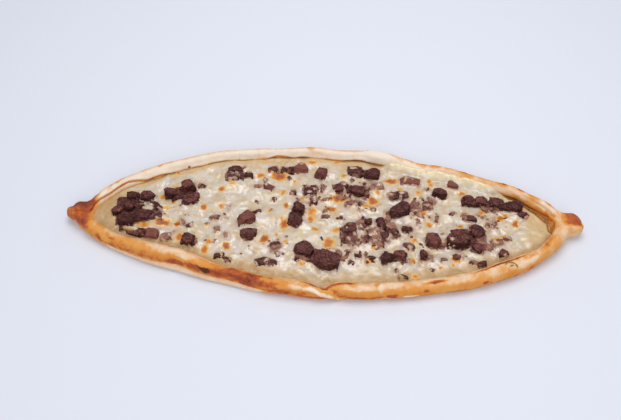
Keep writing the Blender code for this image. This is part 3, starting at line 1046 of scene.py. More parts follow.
@dataclass
class Cheese:
    """The layer of melted cheese, which climbs the meat and laps over some of it."""

    hull: Hull
    finish: bpy.types.Material
    chunks: BVHTree
    crumbs: KDTree
    spots: tuple[Spot, ...]
    spills: tuple[Spot, ...]
    bare: tuple[Spot, ...]
    rings: int = 560
    across: int = 150
    edge_height: float = 0.0088
    crown: float = 0.0012
    tuck: float = 0.0016
    base: float = 0.0054
    blob: float = 0.00120
    shred: float = 0.00048
    pit: float = 0.00010
    climb: float = 0.0013
    climb_reach: float = 0.0018
    cavity: float = 0.0032
    lap_height: float = 0.0060

    def level(self, x: float, y: float, room: float) -> float:
        """Height of the plain cheese, where room is 1 on the keel and 0 at the rim."""
        lumps = math.sin(x * 190.0 + 1.7 * math.sin(y * 120.0))
        lumps += math.sin(y * 230.0 + 1.1 * math.sin(x * 95.0))
        rise = self.crown * math.sqrt(max(room, 0.0))
        return self.edge_height + rise + 0.00035 * lumps * min(1.0, 4.0 * room)

    def surface(self, x: float, y: float, room: float) -> float:
        """Height of the melted surface at a place.

        Args:
            x: Place along the boat.
            y: Place across it, from the keel.
            room: 1 on the keel, falling to 0 at the rim.

        Returns:
            Height above the table.
        """
        here = Vector((x, y, 0.0))
        height = self.level(x, y, room)
        inner_room = min(1.0, 6.0 * room + 0.25)
        height += self.blob * grain(here, 0.0100, 1.0) * inner_room
        height += self.shred * (0.6 - 2.0 * abs(grain(here, 0.0065, 2.0))) * inner_room
        height += self.pit * grain(here, 0.0019, 4.0)
        shifted = Vector((x, y + self.hull.keel_y, 0.030))
        hit = self.chunks.ray_cast(shifted, Vector((0.0, 0.0, -1.0)))[0]
        bare = max(spot.share(x, y) for spot in self.bare)
        appetite = (1.0 + 2.2 * max(grain(here, 0.0065, 9.0), 0.0)) * (1.0 - bare)
        if hit is None:
            shifted.z = height + 0.0012
            gap = self.chunks.find_nearest(shifted, 0.010)[3]
            if gap is not None:
                height += self.climb * appetite * math.exp(-gap / self.climb_reach)
        else:
            drowned = smoothstep(0.0165, 0.0125, hit.z)
            cover = grain(here, 0.0055, 31.0) - 0.44 + 0.42 * drowned - bare
            height = min(height + self.climb * appetite, hit.z - 0.0005)
            if cover > 0.0:
                height = max(height, hit.z - 0.0006 + 0.004 * cover)
        lumpy = 1.0 + 0.35 * grain(here, 0.0060, 23.0)
        height += self.lap_height * lumpy * self.lap(x, y, 0.0070)
        height -= self.cavity * self.hollow_and_painted_shade(x, y)
        spill = sum(spot.share(x, y) for spot in self.spills)
        if spill > 0.0:
            top = hit.z if hit is not None else height
            height = max(height, top + 0.0010 * spill - 0.0008)
        return height

    def hollow_and_painted_shade(self, x: float, y: float) -> float:
        """How far the cheese has pulled back from the far rim, on the right."""
        # This share lowers the cheese and also sets its painted shade.
        to_wall = self.hull.inner(FAR, x) - y
        reach = 0.0040 + 0.0070 * smoothstep(0.174, 0.194, x)
        back = smoothstep(reach, 0.40 * reach, to_wall)
        to_end = self.hull.hollow_right - x + 0.8 * max(-0.008 - y, 0.0)
        return smoothstep(0.158, 0.170, x) * max(back, smoothstep(0.0072, 0.0038, to_end))

    def lap(self, x: float, y: float, reach: float) -> float:
        """How far the cheese has run up the far rim, right of its bulge."""
        stretch = smoothstep(0.050, 0.066, x) * smoothstep(0.164, 0.146, x)
        return stretch * smoothstep(reach, -0.0004, self.hull.inner(FAR, x) - y)

    def build(self) -> bpy.types.Object:
        """Model and paint the cheese, and stand it in for the plain layer."""
        hull = self.hull
        left, right = hull.hollow_left - 0.001, hull.hollow_right + 0.001
        xs = [left + (right - left) * (0.3 * t + 0.7 * (0.5 - 0.5 * math.cos(math.pi * t)))
              for t in (i / self.rings for i in range(self.rings + 1))]
        rings = []
        for x in xs:
            high = hull.inner(FAR, x) + self.tuck
            low = -hull.inner(NEAR, x) - self.tuck
            ring = [Vector((x, low + (high - low) * step / 5.0, self.base)) for step in range(6)]
            for step in range(self.across + 1):
                t = step / self.across
                room = 4.0 * t * (1.0 - t)
                y = high + (low - high) * t
                ring.append(Vector((x, y, self.surface(x, y, room))))
            rings.append(ring)
        body, table = loft(rings, ("edge", "toast", "stain_and_painted_shade", "hollow_and_painted_shade"))
        layers = body.verts.layers.float
        for row in table:
            for vert in row:
                shades = self.colour(vert.co)
                for name, shade in zip(("edge", "toast", "stain_and_painted_shade", "hollow_and_painted_shade"), shades):
                    vert[layers[name]] = shade
        top = self.across + 1
        map_tube(body, table, lambda place: (0.002 + 0.07 * place / 6.0 if place < 6
                                             else 0.08 + 0.91 * (place - 6) / top))
        close_tube(body)
        bmesh.ops.translate(body, vec=Vector((0.0, hull.keel_y, 0.0)), verts=body.verts)
        made = piece("cheese_melted", body, self.finish)
        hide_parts(Food.CHEESE.value)
        return made

    def colour(self, point: Vector) -> tuple[float, float, float, float]:
        """How yellow, toasted, stained and shaded the cheese is at a point."""
        jitter = noise.noise_vector(point / 0.0030) * 0.0015
        x, y = point.x + jitter.x, point.y + jitter.y
        toast = 0.0
        for spot in self.spots:
            if abs(x - spot.x * MM) < spot.length * MM:
                toast = max(toast, spot.share(x, y))
        _, _, gap = self.crumbs.find(point)
        stain_and_painted_shade = 0.50 * math.exp(-gap / 0.0022) + 0.26 * grain(point, 0.0080, 51.0)
        shifted = Vector((point.x, point.y + self.hull.keel_y, point.z + 0.001))
        # Darker round the foot of each die: painted shade, with some meat juice.
        near = self.chunks.find_nearest(shifted, 0.008)[3]
        if near is not None:
            stain_and_painted_shade += 0.42 * math.exp(-near / 0.0018)
        shifted.z = 0.030
        under = self.chunks.ray_cast(shifted, Vector((0.0, 0.0, -1.0)))[0]
        if under is not None and under.z < point.z:
            stain_and_painted_shade += 0.75 * math.exp((under.z - point.z) / 0.0011)
        spill = sum(spot.share(point.x, point.y) for spot in self.spills)
        stain_and_painted_shade *= 1.0 - smoothstep(0.9, 1.3, spill)
        to_far = self.hull.inner(FAR, point.x) - point.y
        to_near = self.hull.inner(NEAR, point.x) + point.y
        room_to_wall = min(to_far, to_near)
        rough = 0.0045 * grain(point, 0.0075, 41.0)
        edge = smoothstep(0.0110, 0.0010, to_far + rough)
        edge = max(edge, smoothstep(0.0150, 0.0010, to_near + rough))
        edge = max(edge, smoothstep(0.160, 0.190, abs(point.x) - rough) * 0.9)
        # Painted shade: brown in the right-hand hollow, along the foot of both rims and over the left end's
        # floor.
        hollow_and_painted_shade = 1.1 * self.hollow_and_painted_shade(point.x, point.y)
        hollow_and_painted_shade = max(hollow_and_painted_shade, 0.55 * smoothstep(0.0032, 0.0006, room_to_wall + 0.3 * rough))
        hollow_and_painted_shade = max(hollow_and_painted_shade, 0.42 * smoothstep(-0.172, -0.190, point.x - rough))
        hollow_and_painted_shade = max(hollow_and_painted_shade, 0.50 * smoothstep(0.0130, 0.0020, to_near + rough))
        lapped = self.lap(point.x, point.y, 0.0110)
        edge -= (1.0 + edge) * lapped
        stain_and_painted_shade *= (1.0 - 0.8 * lapped) * max(1.0 - hollow_and_painted_shade, 0.0)
        return edge, toast, stain_and_painted_shade, hollow_and_painted_shade * (1.0 - lapped)


# ---------------------------------------------------------------------- meat


@dataclass(frozen=True)
class Bit:
    """A small piece of meat: its middle, size, top height and turn, in millimetres."""

    x: float
    y: float
    length: float
    depth: float
    top: float
    turn: float = 0.0
    red: float = 0.2
    film: float = 0.1


@dataclass(frozen=True)
class Bite:
    """A corner cut off a die: the way it faces in degrees, and what share is left."""

    number: int
    angle: float
    share: float


def cut_away(body: bmesh.types.BMesh, place: Vector, facing: Vector) -> None:
    """Cut off what lies beyond a plane, and close the cut.

    Args:
        body: A closed mesh.
        place: A point of the plane.
        facing: The way the cut faces.
    """
    everything = list(body.verts) + list(body.edges) + list(body.faces)
    cut = bmesh.ops.bisect_plane(body, geom=everything, plane_co=place, plane_no=facing,
                                 clear_outer=True)
    rim = [edge for edge in cut["geom_cut"] if isinstance(edge, bmesh.types.BMEdge)]
    if rim:
        bmesh.ops.edgeloop_fill(body, edges=rim)


def bite_off(body: bmesh.types.BMesh, facing: Vector, share: float) -> None:
    """Cut a corner off a body, leaving a share of its reach that way."""
    spots = [vert.co for vert in body.verts]
    middle = sum(spots, Vector()) / len(spots)
    reach = max((spot - middle).dot(facing) for spot in spots)
    cut_away(body, middle + facing * reach * share, facing)


@dataclass
class Meat:
    """The dice of meat, torn and rough all over, and the small bits between them."""

    hull: Hull
    finish: bpy.types.Material
    bits: tuple[Bit, ...]
    bites: tuple[Bite, ...]
    smears: tuple[tuple[int, float], ...]
    sliced: dict[int, float]
    voxel: float = 0.00060
    bit_voxel: float = 0.00060
    lump: float = 0.00075
    tear: float = 0.00115
    grit: float = 0.00060
    sink: float = 0.0085

    def merged(self, node: str) -> bmesh.types.BMesh:
        """A merged copy of a plain chunk."""
        body = bmesh.new()
        body.from_mesh(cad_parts[node].data)
        bmesh.ops.remove_doubles(body, verts=body.verts, dist=1e-6)
        bmesh.ops.recalc_face_normals(body, faces=body.faces)
        return body

    def remeshed(self, body: bmesh.types.BMesh, voxel: float) -> bmesh.types.BMesh:
        """The same form with small even faces.

        Args:
            body: A closed mesh, which is used up.
            voxel: Size of the new faces.

        Returns:
            The new mesh.
        """
        mesh = bpy.data.meshes.new("rough")
        body.to_mesh(mesh)
        body.free()
        holder = bpy.data.objects.new("rough", mesh)
        bpy.context.scene.collection.objects.link(holder)
        remesh = holder.modifiers.new("even faces", "REMESH")
        remesh.mode = "VOXEL"
        remesh.voxel_size = voxel
        graph = bpy.context.evaluated_depsgraph_get()
        even = bpy.data.meshes.new_from_object(holder.evaluated_get(graph))
        fresh = bmesh.new()
        fresh.from_mesh(even)
        bpy.data.objects.remove(holder)
        bpy.data.meshes.remove(mesh)
        bpy.data.meshes.remove(even)
        return fresh

    def roughened(self, body: bmesh.types.BMesh, seed: float, torn: float,
                  tint: Callable[[Vector], tuple[float, float]]) -> None:
        """Round the corners a little, then tear up the surface.

        Args:
            body: The meat, with small even faces.
            seed: Makes its grain its own.
            torn: 1 for a torn piece, less for one with clean cuts.
            tint: Gives the redness and the film of cheese at a point.
        """
        bmesh.ops.smooth_vert(body, verts=body.verts, factor=0.12,
                              use_axis_x=True, use_axis_y=True, use_axis_z=True)
        red_layer = body.verts.layers.float.new("redness")
        film_layer = body.verts.layers.float.new("film")
        tone_and_light_layer = body.verts.layers.float.new("tone_and_painted_light")
        body.normal_update()
        # lit is a made-up light direction: the tone below paints the side facing it lighter.
        lit = noise.random_unit_vector()
        moves = []
        for vert in body.verts:
            rough = self.lump * (grain(vert.co, 0.0052, seed) - 0.10)
            rough += self.tear * (0.20 - abs(grain(vert.co, 0.0030, seed + 2.0)) * 1.1)
            rough += self.grit * grain(vert.co, 0.0016, seed + 5.0)
            moves.append(vert.normal * rough * torn)
            red, film = tint(vert.co)
            sunk = smoothstep(0.0145, 0.0100, vert.co.z)
            vert[red_layer] = red
            vert[film_layer] = film + sunk * (0.40 + 0.9 * grain(vert.co, 0.0040, seed + 9.0))
            # The tone is partly painted light. It is lighter on tops and on the side facing lit, and darker
            # in the torn pits as painted shade. Cleanly cut pieces are also a little lighter in their own
            # tone.
            vert[tone_and_light_layer] = (0.38 + 0.18 * vert.normal.z + 0.13 * vert.normal.dot(lit)
                                + 0.30 * rough / self.tear * torn + 0.10 * (1.0 - torn))
        for vert, move in zip(body.verts, moves):
            vert.co += move

    def chunk(self, node: str, number: int) -> bpy.types.Object:
        """One die of meat in place of its plain solid."""
        rng = random.Random(700 + number)
        noise.seed_set(700 + number)
        body = self.merged(node)
        named = [bite for bite in self.bites if bite.number == number]
        for bite in named:
            angle = math.radians(bite.angle)
            facing = Vector((math.cos(angle), math.sin(angle), rng.uniform(0.1, 0.4)))
            bite_off(body, facing.normalized(), bite.share)
        for _ in range(2 if named else 3):
            angle = rng.uniform(0.0, math.tau)
            facing = Vector((math.cos(angle), math.sin(angle), rng.uniform(0.1, 0.7)))
            bite_off(body, facing.normalized(), rng.uniform(0.66, 0.88))
        slope = Vector((rng.uniform(-0.25, 0.25), rng.uniform(-0.25, 0.25), 1.0)).normalized()
        bite_off(body, slope, rng.uniform(0.90, 0.97))
        body = self.remeshed(body, self.voxel)
        red = rng.choice((0.0, 0.05, 0.1, 0.2, 0.35)) + self.sliced.get(number, 0.0)
        film = dict(self.smears).get(number, 0.0)
        torn = 0.24 if number in self.sliced else 0.62
        self.roughened(body, 10.0 + 3.1 * number, torn, lambda point: (red, film))
        made = piece("dice_" + node.removeprefix("meat_"), body, self.finish)
        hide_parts(node)
        return made

    def cut_bit(self, bit: Bit, rng: random.Random) -> bmesh.types.BMesh:
        """A small bit: an uneven block with its corners cut off."""
        body = bmesh.new()
        bmesh.ops.create_cube(body, size=1.0)
        for vert in body.verts:
            vert.co = Vector(c * (1.0 - rng.uniform(0.0, 0.25)) for c in vert.co)
        for _ in range(4):
            normal = Vector(rng.uniform(-1.0, 1.0) for _ in range(3)).normalized()
            normal.z = abs(normal.z)
            cut_away(body, normal * rng.uniform(0.36, 0.55), normal)
        thick = bit.top * MM - self.sink + 0.002
        size = Vector((bit.length * MM, bit.depth * MM, thick))
        bmesh.ops.scale(body, vec=size, verts=body.verts)
        bmesh.ops.rotate(body, matrix=Matrix.Rotation(math.radians(bit.turn), 3, "Z"),
                         verts=body.verts)
        peak = max(vert.co.z for vert in body.verts)
        place = Vector((bit.x * MM, bit.y * MM + self.hull.keel_y, bit.top * MM - peak))
        bmesh.ops.translate(body, vec=place, verts=body.verts)
        bmesh.ops.triangulate(body, faces=body.faces)
        bmesh.ops.recalc_face_normals(body, faces=body.faces)
        return body

    def small_bits(self) -> bpy.types.Object:
        """All the small bits between the dice, as one piece."""
        whole = bmesh.new()
        tree = KDTree(len(self.bits))
        for number, bit in enumerate(self.bits):
            rng = random.Random(90 + number)
            body = self.cut_bit(bit, rng)
            part = bpy.data.meshes.new("bit")
            body.to_mesh(part)
            body.free()
            whole.from_mesh(part)
            bpy.data.meshes.remove(part)
            tree.insert(Vector((bit.x * MM, bit.y * MM + self.hull.keel_y, 0.0)), number)
        tree.balance()

        def tint(point: Vector) -> tuple[float, float]:
            """Redness and film of the bit nearest to a point."""
            bit = self.bits[tree.find(Vector((point.x, point.y, 0.0)))[1]]
            return bit.red, bit.film

        whole = self.remeshed(whole, self.bit_voxel)
        self.roughened(whole, 60.0, 0.9, tint)
        made = piece("meat_bits", whole, self.finish)
        return made


@dataclass(frozen=True)
class Scatter:
    """A patch of crumbs: its middle, its reach and how many, in millimetres."""

    x: float
    y: float
    reach_x: float
    reach_y: float
    count: int


@dataclass
class Crumbs:
    """Tiny grains of meat half sunk in the cheese."""

    hull: Hull
    finish: bpy.types.Material
    patches: tuple[Scatter, ...]
    smallest: float = 0.0012
    largest: float = 0.0046
    places: list[tuple[Vector, float, float]] = field(default_factory=list)

    def scatter(self) -> KDTree:
        """Choose a place and size for every crumb.

        Returns:
            A tree of the places, for staining the cheese round them.
        """
        rng = random.Random(517)
        for patch in self.patches:
            left = patch.count
            while left > 0:
                middle_x = rng.gauss(patch.x, 0.55 * patch.reach_x)
                middle_y = rng.gauss(patch.y, 0.55 * patch.reach_y)
                film = rng.uniform(0.25, 0.95)
                for _ in range(rng.choice((1, 1, 2, 3, 5, 7))):
                    x = (middle_x + rng.gauss(0.0, 1.5)) * MM
                    y = (middle_y + rng.gauss(0.0, 1.5)) * MM
                    high = self.hull.inner(FAR, x) - 0.004
                    low = 0.004 - self.hull.inner(NEAR, x)
                    left -= 1
                    if low < y < high and abs(x) < 0.185:
                        size = self.smallest + (self.largest - self.smallest) * rng.random() ** 2.0
                        self.places.append((Vector((x, y, 0.0103)), size, film))
        tree = KDTree(len(self.places))
        for index, (point, _, _) in enumerate(self.places):
            tree.insert(point, index)
        tree.balance()
        return tree

    def build(self, cheese: Cheese) -> bpy.types.Object:
        """Set the crumbs into the cheese's surface."""
        rng = random.Random(518)
        body = bmesh.new()
        red_layer = body.verts.layers.float.new("redness")
        film_layer = body.verts.layers.float.new("film")
        tone_and_light_layer = body.verts.layers.float.new("tone_and_painted_light")
        for point, size, film in self.places:
            start = len(body.verts)
            bmesh.ops.create_icosphere(body, subdivisions=1, radius=0.5 * size)
            body.verts.ensure_lookup_table()
            grain_verts = body.verts[start:]
            flat = Vector((rng.uniform(0.9, 1.7), rng.uniform(0.6, 1.1), rng.uniform(0.5, 0.9)))
            for vert in grain_verts:
                vert.co *= rng.uniform(0.6, 1.3)
                vert[red_layer] = 0.30 + 0.4 * grain(point, 0.010, 3.0)
                vert[film_layer] = film + rng.uniform(-0.2, 0.2)
                vert[tone_and_light_layer] = rng.uniform(0.50, 0.90)
            bmesh.ops.scale(body, vec=flat, verts=grain_verts)
            turn = Matrix.Rotation(rng.uniform(0.0, math.tau), 3, "Z")
            bmesh.ops.rotate(body, matrix=turn, verts=grain_verts)
            half = 0.5 * (self.hull.inner(FAR, point.x) + self.hull.inner(NEAR, point.x))
            middle = 0.5 * (self.hull.inner(FAR, point.x) - self.hull.inner(NEAR, point.x))
            t = 0.5 - 0.5 * (point.y - middle) / half
            level = cheese.surface(point.x, point.y, 4.0 * t * (1.0 - t))
            sunk = rng.uniform(-0.38, 0.02) * size
            place = Vector((point.x, point.y + self.hull.keel_y, level + sunk))
            bmesh.ops.translate(body, vec=place, verts=grain_verts)
        bmesh.ops.recalc_face_normals(body, faces=body.faces)
        made = piece("meat_crumbs", body, self.finish, smooth=False)
        return made


# ---------------------------------------------------------------------- herb


@dataclass(frozen=True)
class Leaf:
    """A thin dried leaf: its middle, size, turn and bend, in millimetres and degrees."""

    x: float
    y: float
    length: float
    width: float
    turn: float
    bend: float


@dataclass
class Herb:
    """A small sprig of dried leaves, lying on the near rim."""

    hull: Hull
    finish: bpy.types.Material
    leaves: tuple[Leaf, ...]
    thick: float = 0.00025
    rise: float = 0.0005

    def blade(self, body: bmesh.types.BMesh, leaf: Leaf, crust: BVHTree) -> None:
        """Add one curved leaf that follows the crust.

        Args:
            body: The sprig so far.
            leaf: The leaf to add.
            crust: The crust's surface.
        """
        start = len(body.verts)
        bmesh.ops.create_grid(body, x_segments=10, y_segments=2, size=0.5)
        body.verts.ensure_lookup_table()
        added = body.verts[start:]
        cos, sin = math.cos(math.radians(leaf.turn)), math.sin(math.radians(leaf.turn))
        for vert in added:
            u, v = vert.co.x, vert.co.y
            breadth = leaf.width * (0.12 + 0.88 * math.cos(math.pi * u) ** 0.7)
            run = leaf.length * u
            side = breadth * v + leaf.bend * (0.25 - 4.0 * u * u * 0.25)
            x = (leaf.x + run * cos - side * sin) * MM
            y = (leaf.y + run * sin + side * cos) * MM + self.hull.keel_y
            ground = crust.ray_cast(Vector((x, y, 0.040)), Vector((0.0, 0.0, -1.0)))[0]
            low = ground.z if ground is not None else self.hull.floor
            arch = self.rise * (1.0 - 3.0 * u * u) + 0.0002 * math.cos(2.0 * math.pi * v)
            vert.co = Vector((x, y, low + 0.0003 + arch))

    def build(self, crust: bpy.types.Object) -> bpy.types.Object:
        """Model the sprig on the finished crust."""
        shape = bmesh.new()
        shape.from_mesh(crust.data)
        surface = BVHTree.FromBMesh(shape)
        shape.free()
        body = bmesh.new()
        for leaf in self.leaves:
            self.blade(body, leaf, surface)
        bmesh.ops.solidify(body, geom=list(body.faces), thickness=self.thick)
        bmesh.ops.recalc_face_normals(body, faces=body.faces)
        return piece("herb", body, self.finish)


# --------------------------------------------------------------------- scene


@dataclass(frozen=True)
class Studio:
    """The pale table top, the soft lights and the camera."""

    floor_size: float = 6.0
    floor_colour: Colour = (0.785, 0.805, 0.885)
    sky: Colour = (0.93, 0.96, 1.0)
    sky_strength: float = 0.56
    camera_place: Colour = (0.00060, -0.39546, 0.50160)
    camera_tilt: float = 39.3
    camera_roll: float = 1.71
    lens: float = 41.635

    def floor(self) -> None:
        """A plain pale surface under the boat."""
        body = bmesh.new()
        bmesh.ops.create_grid(body, x_segments=1, y_segments=1, size=0.5 * self.floor_size)
        bmesh.ops.translate(body, vec=Vector((0.0, 0.0, -0.0002)), verts=body.verts)
        mesh = bpy.data.meshes.new("floor")
        body.to_mesh(mesh)
        body.free()
        made = bpy.data.materials.new("floor")
        made.use_nodes = True
        shader = made.node_tree.nodes["Principled BSDF"]
        shader.inputs["Base Color"].default_value = (*self.floor_colour, 1.0)
        shader.inputs["Roughness"].default_value = 0.9
        mesh.materials.append(made)
        floor = bpy.data.objects.new("floor", mesh)
        bpy.context.scene.collection.objects.link(floor)

    def softbox(self, name: str, place: Colour, aim: Colour, size: float, watts: float) -> None:
        """One square soft light.

        Args:
            name: Name of the light.
            place: Where it hangs.
            aim: The point that it faces.
            size: Its side.
            watts: Its power.
        """
        data = bpy.data.lights.new(name, "AREA")
        data.shape = "SQUARE"
        data.size = size
        data.energy = watts
        light = bpy.data.objects.new(name, data)
        light.location = place
        toward = Vector(aim) - Vector(place)
        light.rotation_euler = toward.to_track_quat("-Z", "Y").to_euler()
        bpy.context.scene.collection.objects.link(light)

    def camera(self) -> None:
        """The camera above the near side, looking down along the boat's middle."""
        data = bpy.data.cameras.new("camera")
        data.lens = self.lens
        data.sensor_width = 36.0
        data.clip_start = 0.01
        camera = bpy.data.objects.new("camera", data)
        camera.location = self.camera_place
        camera.rotation_euler = (math.radians(self.camera_tilt), 0.0,
                                 math.radians(self.camera_roll))
        bpy.context.scene.collection.objects.link(camera)
        bpy.context.scene.camera = camera

    def build(self) -> None:
        """Set up the floor, the lights and the camera."""
        scene = bpy.context.scene
        scene.view_settings.view_transform = "Standard"
        world = bpy.data.worlds.new("studio")
        world.use_nodes = True
        sky = world.node_tree.nodes["Background"]
        sky.inputs["Color"].default_value = (*self.sky, 1.0)
        sky.inputs["Strength"].default_value = self.sky_strength
        scene.world = world
        self.floor()
        self.softbox("key", (0.05, 0.22, 0.95), (0.0, 0.05, 0.0), 0.6, 4.1)
        self.softbox("front", (0.1, -1.0, 0.75), (0.0, 0.0, 0.0), 0.7, 3.35)
        self.camera()


def dabs(bank: Bank, rows: Sequence[tuple[float, ...]], scale: float = 1.0) -> tuple[Dab, ...]:
    """Patches on one rim from rows in millimetres, with an angle in degrees.

    Args:
        bank: The side of the boat.
        rows: Place along, turn, length, breadth, amount and slant of each patch.
        scale: Unit of the amounts.

    Returns:
        The patches.
    """
    return tuple(
        Dab(bank, row[0] * MM, row[1], row[2] * MM, row[3] * MM, row[4] * scale,
            math.radians(row[5]) if len(row) > 5 else 0.0)
        for row in rows
    )


def strewn(rows: Sequence[tuple[float, ...]]) -> tuple[Bit, ...]:
    """Uneven small bits, strewn over patches of the cheese.

    Args:
        rows: Middle, reach and number of bits of each patch, in millimetres.

    Returns:
        The bits.
    """
    rng = random.Random(404)
    made = []
    for x, y, reach_x, reach_y, count in rows:
        for _ in range(int(count)):
            made.append(Bit(
                rng.gauss(x, 0.5 * reach_x), rng.gauss(y, 0.5 * reach_y),
                rng.uniform(3.5, 8.0), rng.uniform(3.0, 6.0), rng.uniform(11.3, 13.2),
                rng.uniform(-90.0, 90.0), rng.uniform(0.0, 0.5), rng.uniform(0.1, 0.75),
            ))
    return tuple(made)


RIM_BAKES_AND_SHADE = dabs(Bank.NEAR, (
    # the golden roll on the left, with its scorched foot
    (-182, 0.90, 11, 4, 0.25), (-193, 0.35, 6, 6, 0.20), (-186, 0.45, 8, 5, -0.15),
    (-184, 0.18, 14, 3, 0.06), (-168, 0.20, 16, 3, 0.08), (-152, 0.20, 16, 3, 0.09),
    (-136, 0.18, 18, 3, 0.10), (-163, 1.30, 12, 5, 0.18),
    (-193, 1.38, 10, 6, 0.25), (-140, 0.97, 20, 6, -0.13), (-119, 1.06, 22, 6, -0.13),
    # the purple-brown streak and the blistered stretch
    (-122, 0.20, 18, 4, 0.25), (-108, 0.33, 18, 5, 0.34), (-92, 0.45, 18, 6, 0.34),
    (-76, 0.42, 20, 7, 0.28), (-63, 0.38, 16, 7, 0.28), (-72, 1.00, 17, 9, 0.32),
    (-58, 1.00, 12, 8, 0.40), (-76, 0.65, 8, 5, 0.22), (-62, 0.60, 12, 7, 0.24),
    (-50, 0.70, 10, 8, 0.20),
    (-85, 1.15, 34, 6, 0.14), (-60, 1.40, 40, 6, 0.22), (-42, 1.35, 10, 6, 0.24),
    (-50, 1.25, 6, 3, 0.30), (-33, 0.02, 34, 3, 0.26), (-2, -0.10, 36, 4, 0.28),
    # the pale tongue that runs down to the foot, and the dark fold behind it
    (-33, 0.55, 12, 4, -0.25), (-21, 0.68, 16, 4, -0.33), (-8, 0.74, 14, 4.5, -0.45),
    (2, 0.32, 16, 4, -0.48, -27), (11, -0.15, 12, 4, -0.42, -27),
    (-8, 1.42, 16, 4, 0.60), (2, 1.15, 8, 4.5, 0.70), (12, 1.22, 14, 4, 0.70),
    (23, 1.40, 12, 4, 0.60), (9, 0.62, 12, 6, 0.12), (22, 0.40, 14, 5, 0.06),
    # the golden roll on the right
    (31, -0.10, 30, 3, 0.28), (32, 0.85, 26, 4, -0.24), (48, 0.80, 5, 8, -0.20),
    (58, 0.00, 8, 5, 0.33), (85, 0.34, 6, 4, 0.26), (45, 1.20, 5, 3, 0.30),
    (53, -0.38, 20, 2, -0.40), (73, -0.08, 15, 2.5, -0.55), (93, 1.00, 18, 2.0, 0.85),
    (56, 1.06, 18, 6, -0.15), (106, 0.85, 38, 6, -0.12), (134, 0.22, 5, 3.5, 0.42),
    (136, 1.28, 22, 2.2, 0.62), (150, 1.34, 22, 3, 0.85), (164, 1.32, 14, 2.6, 0.62),
    (113, -0.30, 36, 4, 0.12), (142, 0.50, 6, 10, -0.15), (170, 0.66, 26, 8, -0.30),
    (190, 1.15, 15, 4.5, 0.40), (172, 1.05, 13, 3, 0.20), (197, 1.50, 6, 9, -0.10),
    (192, 0.00, 10, 8, -0.12), (-78, 0.60, 40, 12, 0.10), (-170, 0.60, 40, 9, 0.08),
    (-62, 0.85, 62, 14, 0.20), (-28, 0.45, 40, 7, 0.12), (110, 0.55, 160, 14, -0.04),
    # the rows at 200 mm: the right end of the hollow, partly toasted, partly painted shade
    (128, 0.60, 56, 12, -0.07), (200, 1.95, 11, 9, 0.20),
    (200, 2.75, 12, 12, 0.25),
), 0.72) + dabs(Bank.FAR, (
    (-186, 0.76, 8, 6, 0.35), (-192, 0.97, 4, 7, 0.15), (-151, 0.83, 4, 3, 0.40),
    (-143, 0.75, 8, 4, 0.20), (-80, 1.60, 1.4, 8, 0.16), (-62, 1.33, 1.4, 8, 0.16),
    (-13, 1.00, 8, 4, 0.42), (41, 0.75, 5, 4, 0.50), (-9, 1.39, 18, 3, 0.15),
    (26, 0.88, 24, 3, 0.20), (86, 0.60, 15, 4, 0.55), (105, 0.60, 9, 4, 0.85),
    (91, 0.98, 9, 4, 0.42), (101, 1.02, 11, 4, 0.36), (116, 0.58, 8, 3, 0.50),
    (69, 1.05, 8, 4, 0.22), (129, 0.95, 16, 4, 0.34), (160, 0.98, 10, 4, 0.36),
    (163, 0.72, 6, 4, 0.60), (176, 0.72, 6, 4, 0.50), (186, 1.00, 10, 4, 0.32),
    (197, 0.86, 8, 4, 0.35), (185, 1.33, 22, 3, 0.14), (122, 1.60, 22, 3, 0.12),
    (150, 1.30, 90, 9, 0.05), (188, 1.50, 24, 7, 0.06), (48, 1.50, 15, 9, -0.20),
    # the rows at 172 and 194 mm: the far wall of the right-hand hollow, partly toasted, partly painted shade
    (172, 2.20, 46, 12, 0.15), (194, 2.30, 14, 14, 0.20), (150, 0.72, 110, 10, 0.08),
    (48, 1.40, 26, 18, -0.40), (-73, 1.30, 22, 9, -0.20), (176, 1.78, 50, 4, 0.26),
    # the rows at 200 mm: the right end of the hollow, partly toasted, partly painted shade
    (200, 1.80, 11, 8, 0.30), (132, 1.12, 66, 8, 0.20), (200, 2.75, 12, 12, 0.25),
    # painted shade on the upper inner side of the rim near the right end
    (176, 1.40, 30, 8, 0.12),
), 0.6)
RIM_CHARS_AND_SHADE = dabs(Bank.NEAR, (
    # the row at 199 mm: the right end of the hollow, partly toasted, partly painted shade
    (-97, 0.45, 13, 5.5, 0.85), (199, 2.40, 12, 16, 0.55), (-58, 1.05, 4, 3, 0.60), (-50, 1.30, 5, 2.5, 0.60),
    (-76, 0.60, 4, 3, 0.45), (1, 1.15, 8, 3, 0.50),
)) + dabs(Bank.FAR, (
    (-125, 1.71, 3, 2.2, 0.80), (-203, 1.40, 1.4, 1.4, 0.90), (162, 0.68, 2.5, 1.6, 0.90),
    # the row at 172 mm: the far wall of the right-hand hollow, partly charred, partly painted shade
    (105, 0.58, 5, 1.6, 0.60), (176, 0.66, 1.8, 1.6, 0.80), (172, 2.25, 50, 11, 0.50),
    # the right end of the hollow, partly charred, partly painted shade
    (199, 2.50, 12, 16, 0.30),
))
